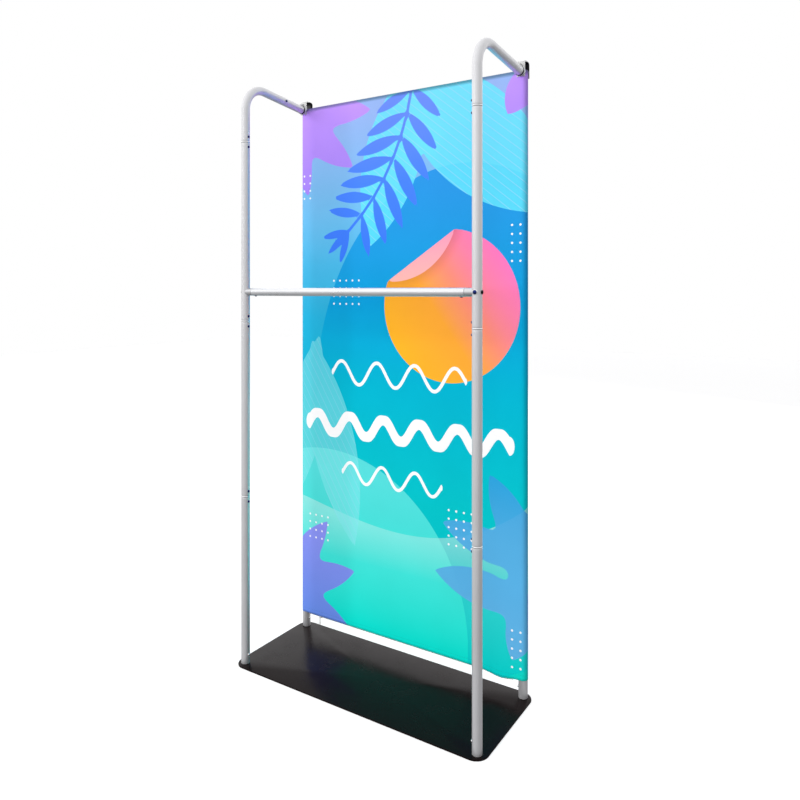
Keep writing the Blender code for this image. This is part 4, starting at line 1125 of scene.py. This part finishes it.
tooth_places = np.arange(chain_low.x + tooth_pitch, chain_high.x - tooth_pitch / 2, tooth_pitch)
coil_level = (chain_low.z + chain_high.z) / 2 - 0.0003
coil = build("zip_coil", [tooth(x, chain_y + (-1) ** number * tooth_stagger, coil_level - hem_dip(x))
                          for number, x in enumerate(tooth_places)], coil_nylon, 80.0)
settle(coil, "frame", "zip_tape")

# Slider and pull: die-cast zinc, painted white. The slider is a channel that runs on the coil, and the pull
# hangs from a pin between its lugs.
slider_low, slider_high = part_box("zip_slider")
pull_low, pull_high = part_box("zip_pull")
# White paint: stoved on the casting, smooth and half glossy, with handling marks as grey clouds 4 mm across.
white_paint = mottled("white_stoved_paint", "#E2E1DE", 0.28, 0.0, 0.004, 5.0,
                      tones=((0.30, "#CFCECA"), (0.55, "#EAE9E6")))

slider_x = (slider_low.x + slider_high.x) / 2
slider_wall = 0.0012
pin_radius = 0.0008
knuckle_half = 0.002
knuckle_bore, knuckle_radius = 0.0011, 0.0017
pin_y = pull_low.y + knuckle_radius
pin_z = (slider_low.z + slider_high.z) / 2
channel_front = chain_low.y - fit_gap - slider_wall
channel_back = chain_high.y + fit_gap + slider_wall
half_slider = (slider_high.x - slider_low.x) / 2
casting_arris = 0.0003
lug_thickness = 0.0012
lug_arris = 0.0002
lug_radius = 0.0017
lug_far = knuckle_half + fit_gap + lug_thickness
slider_outline = round_rectangle((-half_slider, channel_front), (half_slider, channel_back), 0.002, 5)
wall_outline = round_rectangle((-half_slider, slider_low.z), (half_slider, slider_high.z), 0.0015, 4)
pin_profile = rounded(lug_arris - lug_far, lug_far - lug_arris, 0.0, pin_radius, lug_arris, 2)
pin_place = straight((slider_x, pin_y, pin_z), rightward, up)
floor_place = laid((slider_x, 0, slider_low.z), rightward, rearward, up)
slider_grids = [plate(slider_outline, slider_wall, casting_arris, floor_place), turned(pin_profile, pin_place, 16)]
for wall_y in (channel_front, channel_back - slider_wall):
    slider_grids.append(plate(wall_outline, slider_wall, casting_arris,
                              laid((slider_x, wall_y, 0), rightward, up, rearward)))
lug_root = channel_front + slider_wall / 2
lug_outline = np.concatenate([arc((pin_y, pin_z), lug_radius, 90, 270, 8),
                              [(lug_root, pin_z - lug_radius), (lug_root, pin_z + lug_radius)]])
for side in (-1, 1):
    lug_middle = slider_x + side * (lug_far - lug_thickness / 2)
    slider_grids.append(plate(lug_outline, lug_thickness, lug_arris,
                              laid((lug_middle - lug_thickness / 2, 0, 0), rearward, up, rightward)))
settle(build("zip_runner", slider_grids, white_paint, 40.0), "zip_slider", "zip_metal", "zip_slider")

knuckle = [(-knuckle_half, knuckle_bore), (-knuckle_half, knuckle_radius), (knuckle_half, knuckle_radius),
           (knuckle_half, knuckle_bore), (-knuckle_half, knuckle_bore)]
pull_thickness = 0.0012
tab_radius = (pull_high.x - pull_low.x) / 2
eye_radius = tab_radius / 2
eye_z = pull_low.z + tab_radius
neck = 0.0020
tab_outline = np.concatenate([arc((0, eye_z), tab_radius, 170, 370, 24),
                              [(neck, eye_z + 0.010), (neck, pin_z - 0.0013), (-neck, pin_z - 0.0013),
                               (-neck, eye_z + 0.010)]])


def eyed_plate(outline, hole_middle, hole_radius, thickness, arris, place):
    """Grid of a flat plate with a round eye. Rows go round its edge, over the top to the eye, down through it
    and back underneath; each outline point is joined to the eye's point in the same direction."""
    ring = outline - hole_middle
    eye = hole_middle + hole_radius * ring / np.linalg.norm(ring, axis=1)[:, None]
    inner = hole_middle + ring * (1 - arris / np.linalg.norm(ring, axis=1)[:, None])
    rows = np.stack([inner, outline, outline, inner, eye, eye, inner])
    level = np.array([0, arris, thickness - arris, thickness, thickness, 0, 0])[:, None]
    rows = np.concatenate([rows, rows[:, :1]], 1)
    return place(rows[..., 0], rows[..., 1], level), rows, None


tab = eyed_plate(tab_outline, np.array([0, eye_z]), eye_radius, pull_thickness, casting_arris,
                 laid((slider_x, pin_y - pull_thickness / 2, 0), rightward, up, rearward))
pull = build("zip_tag", [turned(knuckle, pin_place, 24), tab], white_paint, 40.0)
settle(pull, "zip_pull", "zip_metal", "zip_pull")
